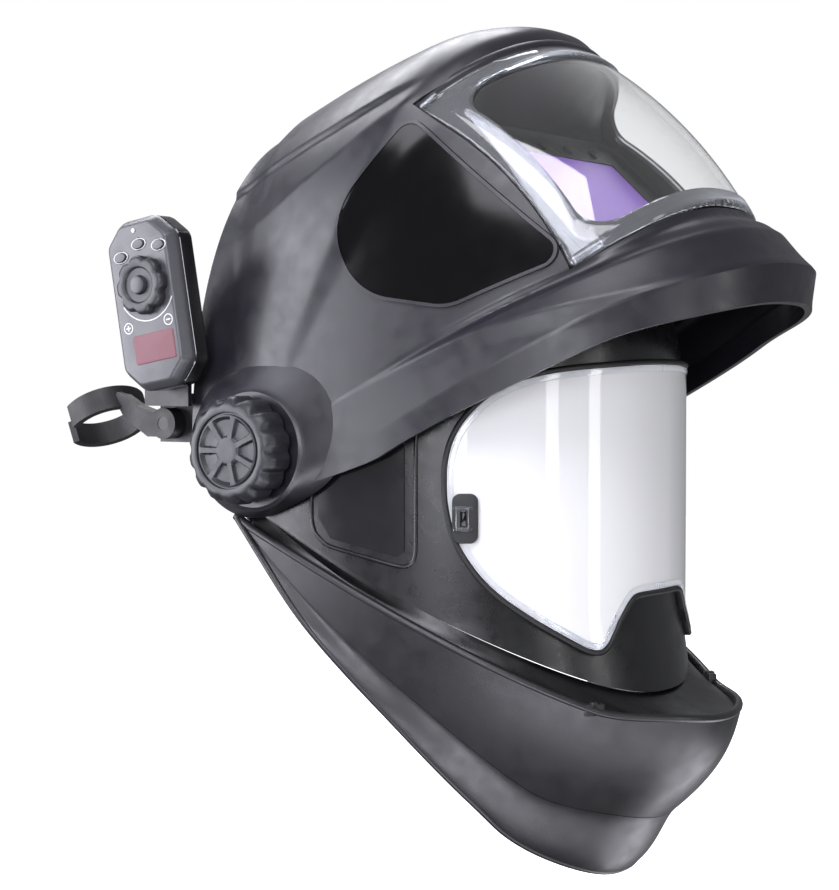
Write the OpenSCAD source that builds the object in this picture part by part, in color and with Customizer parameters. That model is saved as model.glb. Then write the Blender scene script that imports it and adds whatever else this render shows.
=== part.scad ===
// Flip-front powered air respirator helmet.
// +X is the wearer's left, -Y is forward, +Z is up.
// The origin is the middle of the pivot axis, which runs along X through the temples.

/* [Outer visor] */
// Half width of the outer visor at the pivots
visor_w = 105.5; // [104:0.5:110]
// Distance from the pivot axis to the front of the outer visor
visor_front = 203; // [196:1:210]
// Wall of the outer visor
visor_wall = 3; // [2:0.5:4]
// How far the visor stands raised at rest, above the attitude in which its lens is upright
visor_raise = 47; // [40:1:50]
// Radius of the cover lens about the pivot axis
lens_r = 204.5; // [200:0.5:208]
// Half width of the cover lens
lens_w = 76.5; // [70:0.5:80]

/* [Face shell] */
// Half width of the face shell at the pivots
face_w = 99; // [95:1:100]
// Distance from the pivot axis to the front of the face shell
face_front = 141; // [135:1:143]
// Wall of the face shell
face_wall = 2.5; // [2:0.5:4]

/* [Chin duct] */
// Half width of the chin duct at its rear tips
chin_w = 104; // [102:1:106]
// Radius of the chin duct about the pivot axis
chin_r = 213; // [208:1:218]
// Wall of the chin duct
chin_wall = 3; // [2:0.5:4]

/* [Pivot] */
// Radius of the fixed pivot stud
stud_r = 5; // [4:0.5:6]
// Radius of the hub on which the visor turns
hub_r = 9; // [8:0.5:11]
// Running clearance between a shaft and its bore
fit = 0.05; // [0.02:0.01:0.1]
// Outer radius of the pivot knob
knob_r = 23.5; // [21:0.5:26]
// Depth of the pivot knob
knob_t = 16; // [14:1:20]

/* [Controller] */
// Height of the controller
ctl_h = 76; // [70:1:86]
// Width of the controller
ctl_w = 38; // [36:1:46]
// Thickness of the controller
ctl_t = 17; // [15:1:21]
// Backward lean of the controller
ctl_lean = 10; // [0:1:14]

/* [Headgear] */
// Half width of the headband
band_w = 80; // [74:1:82]
// Half length of the headband
band_l = 98; // [92:1:100]
// Height of the headband
band_h = 30; // [24:1:34]

/* [Hidden] */
$fn = 64;

// ---- shared geometry -------------------------------------------------------

function flat(rows) = [for (row = rows) for (p = row) p];
function power(v, e) = pow(max(v, 0), e);
function signed_power(v, e) = sign(v) * pow(abs(v), e);
function mix(a, b, t) = a + (b - a) * t;
function ramp(v, lo, hi) = let (t = min(1, max(0, (v - lo) / (hi - lo)))) t * t * (3 - 2 * t);

// A closed wall between two grids of points that have the same rows and columns
module wall(outer, inner) {
    nr = len(outer);
    nc = len(outer[0]);
    n = nr * nc;
    top = [for (i = [0:nr - 2], j = [0:nc - 2], k = [0, 1]) let (a = i * nc + j)
        k == 0 ? [a, a + nc + 1, a + 1] : [a, a + nc, a + nc + 1]];
    under = [for (f = top) [f[2] + n, f[1] + n, f[0] + n]];
    rim = concat(
        [for (j = [0:nc - 2]) j],
        [for (i = [0:nr - 2]) i * nc + nc - 1],
        [for (j = [nc - 1:-1:1]) (nr - 1) * nc + j],
        [for (i = [nr - 1:-1:1]) i * nc]);
    m = len(rim);
    side = [for (k = [0:m - 1], s = [0, 1]) let (a = rim[k], b = rim[(k + 1) % m])
        s == 0 ? [a, b + n, a + n] : [a, b, b + n]];
    polyhedron(points = concat(flat(outer), flat(inner)), faces = concat(top, under, side));
}

// Points of a rectangle with round corners
function round_rect(l, w, r, steps = 6) = [for (c = [0:3], k = [0:steps]) let (
    q = c * 90 + k * 90 / steps,
    sx = (c == 0 || c == 3) ? 1 : -1, sy = c < 2 ? 1 : -1)
    [sx * (l / 2 - r) + r * cos(q), sy * (w / 2 - r) + r * sin(q)]];

// Points of an ellipse
function ellipse(a, b, steps = 72) = [for (k = [0:steps - 1]) [a * cos(360 * k / steps), b * sin(360 * k / steps)]];

module both_sides() {
    children();
    mirror([1, 0, 0]) children();
}

// ---- outer visor, drawn with its lens upright and then raised ----------------

module raised() {
    rotate([-visor_raise, 0, 0]) children();
}

boss_r = 33.5;
boss_y = 5;
boss_z = 3;
fan_r = 24;
band_u = 0.045;
crown_dist = 155;
crown_slope = 62.8;
rear_r = 151;
edge_drop = 22.3;
edge_gap = 22;
rear_slope = 43;
rear_gap = 38;

// The lens lies between these two angles above straight ahead, at plan angle e from the middle
lens_e = asin(pow(lens_w / visor_w, 1.225));
function lens_top(e) = 13.5 + 6 * pow(e / lens_e, 2);
function lens_low(e) = -16.2 - 2.1 * pow(e / lens_e, 2);
// Profile radius in the middle plane at angle a; it drops to the lens between the lip's crest and the roof
function visor_radius(a, e) = let (
    front = visor_front / cos(max(-50, min(a, 80))),
    crown = crown_dist / cos(min(max(a, 14), 100) - crown_slope),
    top = pow(pow(front + 1, -16) + pow(crown, -16), -1 / 16),
    c = max(-lens_e, min(e, lens_e)),
    low = mix(front, lens_r, ramp(a, -20.8, lens_low(c) - 0.5)))
    mix(mix(low, top, ramp(a - lens_top(c), -0.5, 3.5)), rear_r, ramp(a, 50, 60));
function visor_power(a) = mix(mix(2.45, 2.7, ramp(a, 14, 24)), 2.2, ramp(a, 30, 60));

function visor_low(ratio) = let (rho = 212 * ratio)
    -edge_drop - asin(min(1, edge_gap / rho)) - 1.5 * ramp(rho, 150, 210);
function visor_high(ratio) = let (rho = rear_r * ratio)
    rear_slope + asin(min(1, rear_gap / rho));
function rib_end(r, n) = asin(pow(fan_r / r, n / 2));
// One point of the visor; u is 0 at the lower edge and 1 at the rear edge, v runs from -1 to 1 across.
// Below band_u the wall turns in towards the face and makes the lip's underside.
function visor_point(u, v, inset) = let (
    r_low = power(cos(v * (90 - rib_end(212, 2.45))), 2 / 2.45),
    r_high = power(cos(v * (90 - rib_end(rear_r, 2.2))), 2 / 2.2),
    a = mix(visor_low(r_low), visor_high(r_high), u),
    n = visor_power(a), e = v * (90 - rib_end(visor_radius(a, 0), n)), big = visor_radius(a, e),
    turn = max(0, 1 - u / band_u),
    tuck = 6 * ramp(-a, 18, 26) + 14 * turn,
    rho = (big - tuck * ramp(r_low, 0.5, 1) - inset) * power(cos(e), 2 / n),
    x = (visor_w - 4 * turn * ramp(r_low, 0.2, 0.6) - inset) * signed_power(sin(e), 2 / n))
    [x, -rho * cos(a), rho * sin(a)];
function visor_row(i, nu) = i < 3 ? band_u * i / 2 : mix(band_u, 1, (i - 2) / (nu - 2));
function visor_grid(inset, nu, nv) = [for (i = [0:nu]) [for (j = [0:nv])
    visor_point(visor_row(i, nu), 2 * j / nv - 1, inset)]];

// Patch of the lens surface, grown sideways and up by angles; j runs across and i up
function lens_point(e, a, inset) = let (rho = (lens_r - inset) * power(cos(e), 2 / 2.45))
    [(visor_w - inset) * signed_power(sin(e), 2 / 2.45), -rho * cos(a), rho * sin(a)];
function lens_grid(inset, e0, e1, low, high, ni, nj) = [for (i = [0:ni]) [for (j = [0:nj]) let (
    e = mix(e0, e1, j / nj), c = max(-lens_e, min(e, lens_e)))
    lens_point(e, mix(lens_low(c) + low, lens_top(c) + high, i / ni), inset)]];
module lens_wall(from, to, e0, e1, low, high, ni, nj) {
    wall(lens_grid(from, e0, e1, low, high, ni, nj), lens_grid(to, e0, e1, low, high, ni, nj));
}

// Side window in the side view, forward and up: two big rear circles and two small corners
window_circles = [[118, 14, 31], [123, -7, 23], [143, 44, 5], [148, -36, 6]];
module window_prism(from, depth, grow) {
    translate([from, 0, 0]) rotate([90, 0, 90]) linear_extrude(depth) hull()
        for (c = window_circles) translate([-c[0], c[1]]) circle(r = c[2] + grow, $fn = 48);
}

module visor_shell() {
    color("#3c3c46") raised() resize([0, 0, 0]) difference() {
        wall(visor_grid(0, 34, 44), visor_grid(visor_wall, 34, 44));
        lens_wall(-14, 14, -lens_e - 0.3, lens_e + 0.3, -0.2, 0.2, 10, 32);
        both_sides() rotate([visor_raise, 0, 0]) translate([90, boss_y, boss_z]) rotate([0, 90, 0])
            cylinder(r = boss_r + 0.2, h = 30, $fn = 48);
    }
}

module visor_bosses() {
    color("#3c3c46") both_sides() difference() {
        union() {
            translate([101.5, boss_y, boss_z]) rotate([0, 90, 0]) cylinder(r = boss_r, h = 6.5);
            translate([101.5, 0, 0]) rotate([0, 90, 0]) cylinder(r = 26, h = 8.2);
        }
        translate([100, 0, 0]) rotate([0, 90, 0]) cylinder(r = hub_r + fit, h = 12);
    }
}

module cover_lens() {
    color("#dfe6ea") raised() resize([0, 0, 0]) union()
        lens_wall(0, 2, -lens_e, lens_e, 0, 0, 10, 32);
}

module lens_clips() {
    color("#dfe6ea") raised() both_sides() resize([0, 0, 0]) union() {
        lens_wall(5.7, 9, lens_e - 4, lens_e, 0.5, -29, 1, 3);
        lens_wall(5.7, 9, lens_e - 4, lens_e, 29, -1.5, 1, 3);
    }
}

module side_windows() {
    color("#08080a") raised() for (side = [-1, 1]) resize([0, 0, 0]) intersection() {
        wall(visor_grid(-1.2, 34, 44), visor_grid(-0.1, 34, 44));
        window_prism(side < 0 ? -110 : 20, 90, 0);
    }
}

filter_y = -165;
filter_z = -8;

// Funnel behind the cover lens that holds the filter
module filter_housing() {
    color("#141416") raised() resize([0, 0, 0]) difference() {
        union() {
            lens_wall(2.3, 4.6, -lens_e + 0.5, lens_e - 0.5, 0.4, -0.4, 8, 24);
            lens_wall(3.6, 5.4, -lens_e - 3, lens_e + 3, 0.4, -0.4, 8, 24);
            both_sides() lens_wall(2.6, 17, 34.5, 37.5, 1, -1, 6, 2);
            hull() {
                translate([-66, -163, filter_z - 42]) cube([132, 4, 88]);
                translate([-61, -155, filter_z - 43]) cube([122, 2, 86]);
            }
        }
        hull() {
            translate([-62, -165, filter_z - 40]) cube([124, 1, 84]);
            translate([-54, -160, filter_z - 33]) cube([108, 2, 66]);
        }
        for (x = [-36, -12, 12, 36])
            translate([x, -158.5, filter_z + 34.7]) rotate([90, 0, 0]) cylinder(r = 2.7, h = 10);
        translate([-62, -230, filter_z - 40]) cube([124, 66, 84]);
        translate([-58, -159, filter_z - 40]) cube([116, 12, 80]);
    }
}

module filter_frame() {
    color("#1a1a1c") raised() difference() {
        translate([-57.5, -158.6, filter_z - 39.5]) cube([115, 5.6, 79]);
        translate([-50, -160, filter_z - 30]) cube([100, 10, 60]);
    }
}

module filter_glass() {
    color("#7d5fb5") raised() translate([-49.8, -158, filter_z - 29.8]) cube([99.6, 4, 59.6]);
}

module inner_cover_lens() {
    color("#dfe6ea") raised() translate([-55, -152.8, filter_z - 36]) cube([110, 1.2, 72]);
}

module light_sensors() {
    color("#202024") raised() for (x = [-36, -12, 12, 36])
        translate([x, -158.6, filter_z + 34.7]) rotate([90, 0, 0]) cylinder(r = 2.5, h = 1.5);
}

// ---- face shell ----------------------------------------------------------------

face_power = 2.3;
shell_rear = 26;
function face_bottom(fwd) = -31 - 0.52 * (fwd - 4) - 6 * power(fwd / 148, 8);
function face_top(fwd) = 44 + 0.56 * max(0, fwd);
function face_flare(z) = 0.16 * max(0, -72 - z);
function face_shrink(z) = sqrt(1 - power(max(0, z - 38) / 92, 2));
function face_narrow(z) = 1 - 0.06 * ramp(z, 26, 56);
// Point on the face shell; q is the plan angle from straight ahead, beyond 90 it runs straight to the rear
function face_plan(q, z, inset) = let (
    k = face_shrink(z), over = max(0, abs(q) - 90), e = min(90, abs(q)) * sign(q),
    x = (face_w - inset) * k * face_narrow(z) * signed_power(sin(e), 2 / face_power),
    fwd = (face_front + face_flare(z) - inset) * k * power(cos(e), 2 / face_power))
    [x, over > 0 ? over * shell_rear / 30 : -fwd, z];
function face_point(q, t, inset) = let (
    guess = -face_plan(q, 0, 0)[1],
    z = mix(face_bottom(guess), face_top(guess), t))
    face_plan(q, z, inset);
function face_grid(inset, nq, nt, t0 = 0, t1 = 1, q0 = 120) = [for (i = [0:nt]) [for (j = [0:nq])
    face_point(mix(-q0, q0, j / nq), mix(t0, t1, i / nt), inset)]];

// Half outline of the grinding visor seen from the front, with the bump for the nose at the bottom
visor_half = [[0, 37], [16, 36.8], [31, 36], [43, 35.2], [54, 34], [62, 32.3], [69, 29.5], [74, 25.5], [78, 20],
    [81, 13], [83, 5], [84, -4], [84.2, -13], [84, -22], [83, -33], [81, -43], [77.5, -53], [73, -61],
    [67, -68], [60, -74.5], [53, -80], [47, -84], [42, -85], [38, -82.5], [34, -77], [29.5, -71],
    [25, -65.5], [20, -62.5], [10, -62], [0, -62]];
visor_loop = concat(visor_half, [for (i = [len(visor_half) - 2:-1:1]) [-visor_half[i][0], visor_half[i][1]]]);
// Outward direction of the face shell at a point, and the point at a height above it
function face_normal(p) = let (
    n = [sign(p[0]) * power(abs(p[0]) / face_w, face_power - 1) / face_w,
        -power(abs(p[1]) / face_front, face_power - 1) / face_front, 0])
    n / norm(n);
function face_at(x, z) = let (
    side = abs(x) / (face_w * face_shrink(z) * face_narrow(z)))
    face_plan(sign(x) * asin(min(1, power(side, face_power / 2))), z, 0);
function loop_point(i, grow, h) = let (
    m = len(visor_loop), a = visor_loop[(i + m - 1) % m], b = visor_loop[i], c = visor_loop[(i + 1) % m],
    p = face_at(b[0], b[1]), n = face_normal(p), d = face_at(c[0], c[1]) - face_at(a[0], a[1]))
    p + h * n + grow * cross(n, d) / norm(cross(n, d));
// Solid that cuts square through the face shell along the outline
module visor_cut(grow) {
    m = len(visor_loop);
    polyhedron(
        points = concat([for (i = [0:m - 1]) loop_point(i, grow, -7)], [for (i = [0:m - 1]) loop_point(i, grow, 9)],
            [[0, -120, -20], [0, -215, -20]]),
        faces = concat(
            [for (i = [0:m - 1], k = [0, 1]) let (j = (i + 1) % m) k == 0 ? [i, j, m + j] : [i, m + j, m + i]],
            [for (i = [0:m - 1]) [2 * m, (i + 1) % m, i]],
            [for (i = [0:m - 1]) [2 * m + 1, m + i, m + (i + 1) % m]]));
}

module face_shell() {
    color("#2a2a2e") resize([0, 0, 0]) difference() {
        wall(face_grid(0, 44, 18), face_grid(face_wall, 44, 18));
        visor_cut(-1.8);
        both_sides() translate([80, 0, 0]) rotate([0, 90, 0]) cylinder(r = hub_r + 0.3, h = 30, $fn = 32);
    }
}

module grinding_visor() {
    color("#e8e8ea") resize([0, 0, 0]) intersection() {
        wall(face_grid(-2.2, 44, 16, 0, 1, 80), face_grid(-0.4, 44, 16, 0, 1, 80));
        visor_cut(0);
    }
}

module visor_seal() {
    color("#1c1c1e") resize([0, 0, 0]) intersection() {
        wall(face_grid(-3.2, 44, 14, 0, 1, 80), face_grid(-0.4, 44, 14, 0, 1, 80));
        difference() {
            visor_cut(2.4);
            visor_cut(0.05);
        }
    }
}

module visor_latches() {
    color("#17171a") both_sides() translate([-82.3, -88.8, -40]) rotate([0, 0, -64]) translate([-3, -5.8, 0])
        cube([13, 2.2, 24]);
}

module side_panels() {
    color("#6d6d78") resize([0, 0, 0]) both_sides() intersection() {
        wall(face_grid(-0.9, 44, 8), face_grid(-0.1, 44, 8));
        translate([-120, 0, 0]) rotate([90, 0, 90]) linear_extrude(60)
            polygon([[-28, -6], [-28, -29], [-34, -38], [-65, -45], [-67.5, -43], [-67.5, 6]]);
    }
}

module pivot_hubs() {
    color("#303034") both_sides() rotate([0, 90, 0]) difference() {
        union() {
            translate([0, 0, 92.5]) cylinder(r = 14, h = 3.4);
            translate([0, 0, 92.5]) cylinder(r = hub_r, h = 17.7);
        }
        translate([0, 0, 90]) cylinder(r = stud_r + fit, h = 25);
    }
}

// ---- chin duct -----------------------------------------------------------------

rim_drop = 26.6;
rim_gap = 35;
bib_drop = 51.5;
bib_gap = 30;
apex_r = 34;
chin_power = 2.1;
function rim_angle(rho) = -rim_drop - asin(min(1, rim_gap / rho)) + 2.5 * ramp(rho, 180, 213);
function bib_angle(rho) = -bib_drop - asin(min(1, bib_gap / rho)) + 3 * ramp(rho, 180, 213)
    + 1.5 * (ramp(rho, 60, 130) - ramp(rho, 170, 213));
// Radius of the chin wall; t is 0 at the bib's edge and 1 at the rim
chin_split = 0.3;
function chin_radius(t) = t > chin_split
    ? mix(chin_r + 5, chin_r - 2, (t - chin_split) / (1 - chin_split)) + 3 * sin(180 * (t - chin_split) / (1 - chin_split))
    : mix(chin_r + 14, chin_r + 5, ramp(t, 0, chin_split));
function chin_flare(t) = 5 * (1 - ramp(t, 0, chin_split));
function chin_point(t, v, inset) = let (
    e = v * (90 - asin(pow(apex_r / chin_r, chin_power / 2))),
    ratio = power(cos(e), 2 / chin_power),
    rho = mix(chin_r, chin_radius(t), ramp(ratio, 0.6, 1)) * ratio,
    a = mix(bib_angle(chin_r * ratio), rim_angle(chin_r * ratio), t) + 2 * ramp(ratio, 0.8, 1) * sin(180 * t),
    k = (rho - inset * ramp(ratio, 0, 0.3)),
    side = chin_w - inset + chin_flare(t) * ramp(ratio, 0.1, 0.4))
    [side * signed_power(sin(e), 2 / chin_power), -k * cos(a), k * sin(a)];
function chin_grid(inset, nt, nv, t0, t1) = [for (i = [0:nt]) [for (j = [0:nv])
    chin_point(mix(t0, t1, i / nt), 2 * j / nv - 1, inset)]];

module chin_duct() {
    color("#2c2c30") resize([0, 0, 0]) union() wall(
        chin_grid(0, 8, 48, chin_split, 1), chin_grid(chin_wall, 8, 48, chin_split, 1));
}

module chin_bib() {
    color("#33333a") resize([0, 0, 0]) union() wall(
        chin_grid(0, 6, 48, 0, chin_split - 0.003), chin_grid(2.2, 6, 48, 0, chin_split - 0.003));
}

// Tray between the foot of the face shell and the rim of the chin duct; s runs from the shell to the rim
tray_t = 2.4;
function tray_point(s, v, depth) = let (
    outer = chin_point(1, 0.9 * v, chin_wall + 2.6) - [0, 0, 5],
    inner = face_point(112 * v, 0, face_wall + 0.3) - [0, 0, 0.3],
    p = mix(inner, outer, s))
    p - [0, 0, depth + 2 * sin(180 * s)];
function tray_grid(depth) = [for (i = [4:-1:0]) [for (j = [0:40]) tray_point(i / 4, j / 20 - 1, depth)]];
module chin_tray() {
    color("#242428") resize([0, 0, 0]) union() wall(tray_grid(0), tray_grid(tray_t));
}

module chin_latches() {
    color("#17171a") both_sides() translate([-65, -143, -111]) rotate([0, 0, -42]) cube([10, 4, 7]);
}

// Cushion along the inside of the face shell's lower edge
module face_seal() {
    function seal_ring(q) = let (c = face_point(q, 0.16, 9), d = [c[0], c[1], 0] / norm([c[0], c[1]]))
        [for (s = [0:9]) c + d * 5 * cos(36 * s) + [0, 0, 9 * sin(36 * s)]];
    rings = [for (j = [0:36]) seal_ring(mix(-84, 84, j / 36))];
    color("#1b1b1d") polyhedron(points = flat(rings), faces = concat(
        [for (i = [0:35], s = [0:9], k = [0, 1]) let (a = i * 10 + s, b = i * 10 + (s + 1) % 10)
            k == 0 ? [a, b, b + 10] : [a, b + 10, a + 10]],
        [[for (s = [9:-1:0]) s]], [[for (s = [0:9]) 360 + s]]));
}

// ---- pivot stack -----------------------------------------------------------------

module pivot_studs() {
    color("#b5b5ba") both_sides() rotate([0, 90, 0]) {
        translate([0, 0, 84]) cylinder(r = stud_r, h = 37);
    }
}

module pivot_arms() {
    color("#202022") both_sides() difference() {
        union() {
            translate([84, 0, 0]) rotate([0, 90, 0]) cylinder(r = 15, h = 4);
            translate([84, -11, 0]) cube([4, 22, 44]);
            translate([80.05, -11, 30]) cube([4, 22, 14]);
        }
        translate([80, 0, 0]) rotate([0, 90, 0]) cylinder(r = stud_r, h = 12);
    }
}

module friction_washers() {
    color("#8d8d92") both_sides() translate([110.3, 0, 0]) rotate([0, 90, 0]) difference() {
        cylinder(r = 14, h = 0.6);
        translate([0, 0, -1]) cylinder(r = stud_r, h = 4);
    }
}

flutes = 14;
module pivot_knob() {
    rotate([0, 90, 0]) difference() {
        union() {
            translate([0, 0, 111]) cylinder(r = knob_r, h = knob_t - 4);
            translate([0, 0, 111 + knob_t - 4]) cylinder(r1 = knob_r, r2 = knob_r - 2.5, h = 4);
        }
        for (k = [0:flutes - 1]) rotate([0, 0, 360 * k / flutes])
            translate([knob_r + 3.4, 0, 112.5]) cylinder(r = 5, h = knob_t);
        translate([0, 0, 110]) cylinder(r = stud_r + fit, h = 11.2);
        translate([0, 0, 111 + knob_t - 0.8]) difference() {
            cylinder(r = 16.5, h = 2);
            translate([0, 0, -1]) cylinder(r = 15.5, h = 4);
        }
    }
}
module pivot_knob_left() { color("#2b2b30") pivot_knob(); }
module pivot_knob_right() { color("#2b2b30") mirror([1, 0, 0]) pivot_knob(); }

// ---- headgear ----------------------------------------------------------------------

band_y = -8;
band_z = 28;
module loop(a, b, thick, h) {
    linear_extrude(h) difference() {
        polygon(ellipse(a, b));
        polygon(ellipse(a - thick, b - thick));
    }
}
module headband() {
    color("#1d1d20") difference() {
        translate([0, band_y, band_z]) loop(band_w, band_l, 2.4, band_h);
        translate([-14, 40, ratchet_z - 7]) cube([28, 80, 14]);
    }
}
module sweatband() {
    color("#2f2f33") intersection() {
        translate([0, band_y, band_z + 1]) loop(band_w - 2.5, band_l - 2.5, 5, band_h - 2);
        translate([-62, -120, 0]) cube([124, 82, 80]);
    }
}
module head_strap(y, half, h_top, wide) {
    translate([0, y + wide / 2, 0]) rotate([90, 0, 0]) linear_extrude(wide) difference() {
        polygon([for (k = [0:36]) [half * cos(5 * k), 40 + (h_top - 40) * sin(5 * k)]]);
        polygon([for (k = [0:36]) [(half - 2) * cos(5 * k), 38 + (h_top - 40) * sin(5 * k)]]);
    }
}
module crown_strap() { color("#1d1d20") head_strap(-14, 76.4, 116, 20); }
module rear_strap() { color("#1d1d20") head_strap(24, 70.4, 110, 16); }
module nape_pad() {
    color("#2f2f33") intersection() {
        translate([0, band_y, band_z - 2]) loop(band_w - 2.5, band_l - 2.5, 6, band_h + 4);
        translate([-40, 40, 0]) cube([80, 60, 80]);
    }
}

ratchet_z = 42;
module ratchet_housing() {
    color("#1a1a1c") difference() {
        intersection() {
            translate([0, band_y, ratchet_z - 16]) loop(band_w + 9.5, band_l + 9.5, 9.4, 32);
            translate([0, 60, ratchet_z]) rotate([-90, 0, 0]) linear_extrude(50) polygon(round_rect(66, 32, 10));
        }
        translate([0, 80, ratchet_z]) rotate([-90, 0, 0]) cylinder(r = 4 + fit, h = 30);
        translate([0, 80, ratchet_z]) rotate([-90, 0, 0]) cylinder(r = 6.2, h = 14);
    }
}
pinion_teeth = 10;
module ratchet_pinion() {
    color("#c8c8c0") translate([0, 0, ratchet_z]) rotate([-90, 0, 0]) {
        translate([0, 0, 87.5]) linear_extrude(6) polygon([for (k = [0:pinion_teeth - 1], s = [0, 1])
            (s == 0 ? 4.2 : 5.8) * [cos(36 * (k + s / 2)), sin(36 * (k + s / 2))]]);
        translate([0, 0, 87.5]) cylinder(r = 4, h = 17.6);
    }
}
module ratchet_knob() {
    color("#161618") translate([0, 99.9, ratchet_z]) rotate([-90, 0, 0]) difference() {
        cylinder(r = 15.5, h = 10);
        for (k = [0:11]) rotate([0, 0, 30 * k]) translate([17.9, 0, -1]) cylinder(r = 4, h = 14);
        translate([0, 0, -1]) cylinder(r = 4, h = 6.2);
    }
}

// ---- air path ------------------------------------------------------------------------

duct_r = 125;
module crown_duct() {
    color("#232326") rotate([0, 90, 0]) rotate([0, 0, 152]) rotate_extrude(angle = 71) translate([duct_r, 0])
        difference() {
            polygon(round_rect(13, 52, 5.5));
            polygon(round_rect(9.2, 47.5, 4));
        }
}
module at_duct_end() {
    a = 118.2;
    translate([0, -duct_r * cos(a), duct_r * sin(a)]) rotate([270 - a, 0, 0]) children();
}
inlet_r = 12;
module air_coupling() {
    color("#2a2a2e") at_duct_end() rotate([90, 0, 0]) difference() {
        union() {
            translate([0, 0, -0.2]) linear_extrude(6) polygon(round_rect(56, 17, 7));
            cylinder(r = 15, h = 22);
        }
        translate([0, 0, -2]) cylinder(r = 6, h = 12);
        translate([0, 0, 4]) cylinder(r = inlet_r, h = 24);
    }
}
module air_diffuser() {
    color("#232326") rotate([90 - 46.6, 0, 0]) translate([0, 0, duct_r]) difference() {
        translate([-30, -14, -6.5]) cube([60, 14, 13]);
        translate([-27, -16, -4.2]) cube([54, 18, 8.4]);
    }
}

// ---- controller and hose clip ----------------------------------------------------------

ctl_back_x = -108.5;
ctl_y = 46.5;
ctl_z = 64;
// Local frame of the controller: x up, y to the rear, z outward
module on_controller() {
    translate([ctl_back_x, ctl_y, ctl_z]) rotate([-ctl_lean, 0, 0]) rotate([0, -90, 0]) children();
}
module plate(l, w, r, z, h) {
    translate([0, 0, z]) linear_extrude(h) polygon(round_rect(l, w, r));
}
dial_x = 7.5;
dial_y = -2;
dial_r = 13;
button_spots = [[22, 9.5], [26, -1.5], [23.5, -12.5]];
display_x = -20;
display_y = -2.5;

module controller_back() {
    color("#141416") on_controller() difference() {
        plate(ctl_h, ctl_w, 8, 0, ctl_t - 7);
        plate(ctl_h - 5, ctl_w - 5, 6, 3, ctl_t);
        translate([-26, 0, -1]) linear_extrude(3) polygon(round_rect(18, 26, 2));
    }
}
module battery_door() {
    color("#1a1a1c") on_controller() translate([-26, 0, 0.2]) linear_extrude(1.8) polygon(round_rect(17.6, 25.6, 2));
}
module controller_front() {
    color("#55555c") on_controller() difference() {
        union() {
            plate(ctl_h, ctl_w, 8, ctl_t - 7, 4);
            plate(ctl_h - 4, ctl_w - 4, 7, ctl_t - 7, 7);
        }
        plate(ctl_h - 7, ctl_w - 7, 5, ctl_t - 8, 6);
        translate([dial_x, dial_y, 0]) cylinder(r = 6 + fit, h = 30);
        for (p = button_spots) translate([p[0], p[1], 0]) cylinder(r = 2.8, h = 30);
        translate([display_x - 6.6, display_y - 11.6, ctl_t - 1]) cube([13.2, 23.2, 3]);
        translate([32.5, 0.5, 0]) cylinder(r = 1, h = 30);
    }
}
module controller_display() {
    color("#6b3a3f") on_controller() translate([display_x - 6.5, display_y - 11.5, ctl_t - 1]) cube([13, 23, 1.2]);
}
module controller_lamp() {
    color("#d8d8d8") on_controller() translate([32.5, 0.5, ctl_t - 1.8]) cylinder(r = 0.9, h = 2.2);
}
lobes = 8;
module control_dial() {
    color("#1b1b1d") on_controller() translate([dial_x, dial_y, 0]) difference() {
        union() {
            translate([0, 0, ctl_t + 0.2]) cylinder(r = dial_r, h = 5);
            translate([0, 0, ctl_t - 6]) cylinder(r = 6, h = 7);
        }
        for (k = [0:lobes - 1]) rotate([0, 0, 360 * (k + 0.5) / lobes])
            translate([dial_r + 1.8, 0, ctl_t - 1]) cylinder(r = 3.2, h = 8);
        translate([0, 0, ctl_t - 8]) cylinder(r = 4 + fit, h = 20);
    }
}
module dial_button() {
    color("#2a2a2d") on_controller() translate([dial_x, dial_y, 0]) {
        translate([0, 0, ctl_t - 2.5]) cylinder(r = 4, h = 8.9);
    }
}
module small_button(k) {
    color("#b9b9bd") on_controller() translate([button_spots[k][0], button_spots[k][1], 0]) {
        translate([0, 0, ctl_t - 2.9]) cylinder(r = 2.5, h = 4.1);
    }
}
module left_button() small_button(0);
module middle_button() small_button(1);
module right_button() small_button(2);

pin_y = 54;
pin_z = 10.5;
module controller_bracket() {
    color("#1b1b1d") difference() {
        union() {
            translate([-96.2, 15, 2]) cube([3.2, 47, 22]);
            translate([-108.3, 49, 18.5]) cube([14, 12, 5.5]);
            translate([-108.3, 36, 18.5]) cube([2.5, 25, 27]);
        }
        translate([-100, pin_y, pin_z]) rotate([0, 90, 0]) cylinder(r = 3, h = 12);
    }
}
module clip_pin() {
    color("#9a9aa0") translate([-104, pin_y, pin_z]) rotate([0, 90, 0]) cylinder(r = 3, h = 11.4);
}
clip_r = 16;
clip_t = 3;
clip_band = 11;
clip_gap = 50;
ring_x = -95;
ring_y = 41;
module at_ring() {
    translate([ring_x, ring_y, 2.5]) rotate([-29, 12, 0]) children();
}
module hose_clip() {
    color("#18181a") translate([0, pin_y, pin_z]) difference() {
        union() {
            translate([-104.2, 0, 0]) rotate([0, 90, 0]) cylinder(r = 7, h = 7.6);
            difference() {
                translate([-104.2, 0, 0]) rotate([90, 0, 90]) linear_extrude(7.6)
                    polygon([[0, -6], [9, -6], [22, 2], [29, 7], [27, 14], [16, 8], [6, 5], [0, 7]]);
                at_ring() cylinder(r = clip_r + 1.5, h = 60, center = true);
            }
            at_ring() rotate([0, 0, 131 + clip_gap / 2]) translate([0, 0, -clip_band / 2])
                rotate_extrude(angle = 360 - clip_gap) translate([clip_r, 0]) square([clip_t, clip_band]);
        }
        translate([-110, 0, 0]) rotate([0, 90, 0]) cylinder(r = 3 + fit, h = 20);
    }
}

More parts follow.
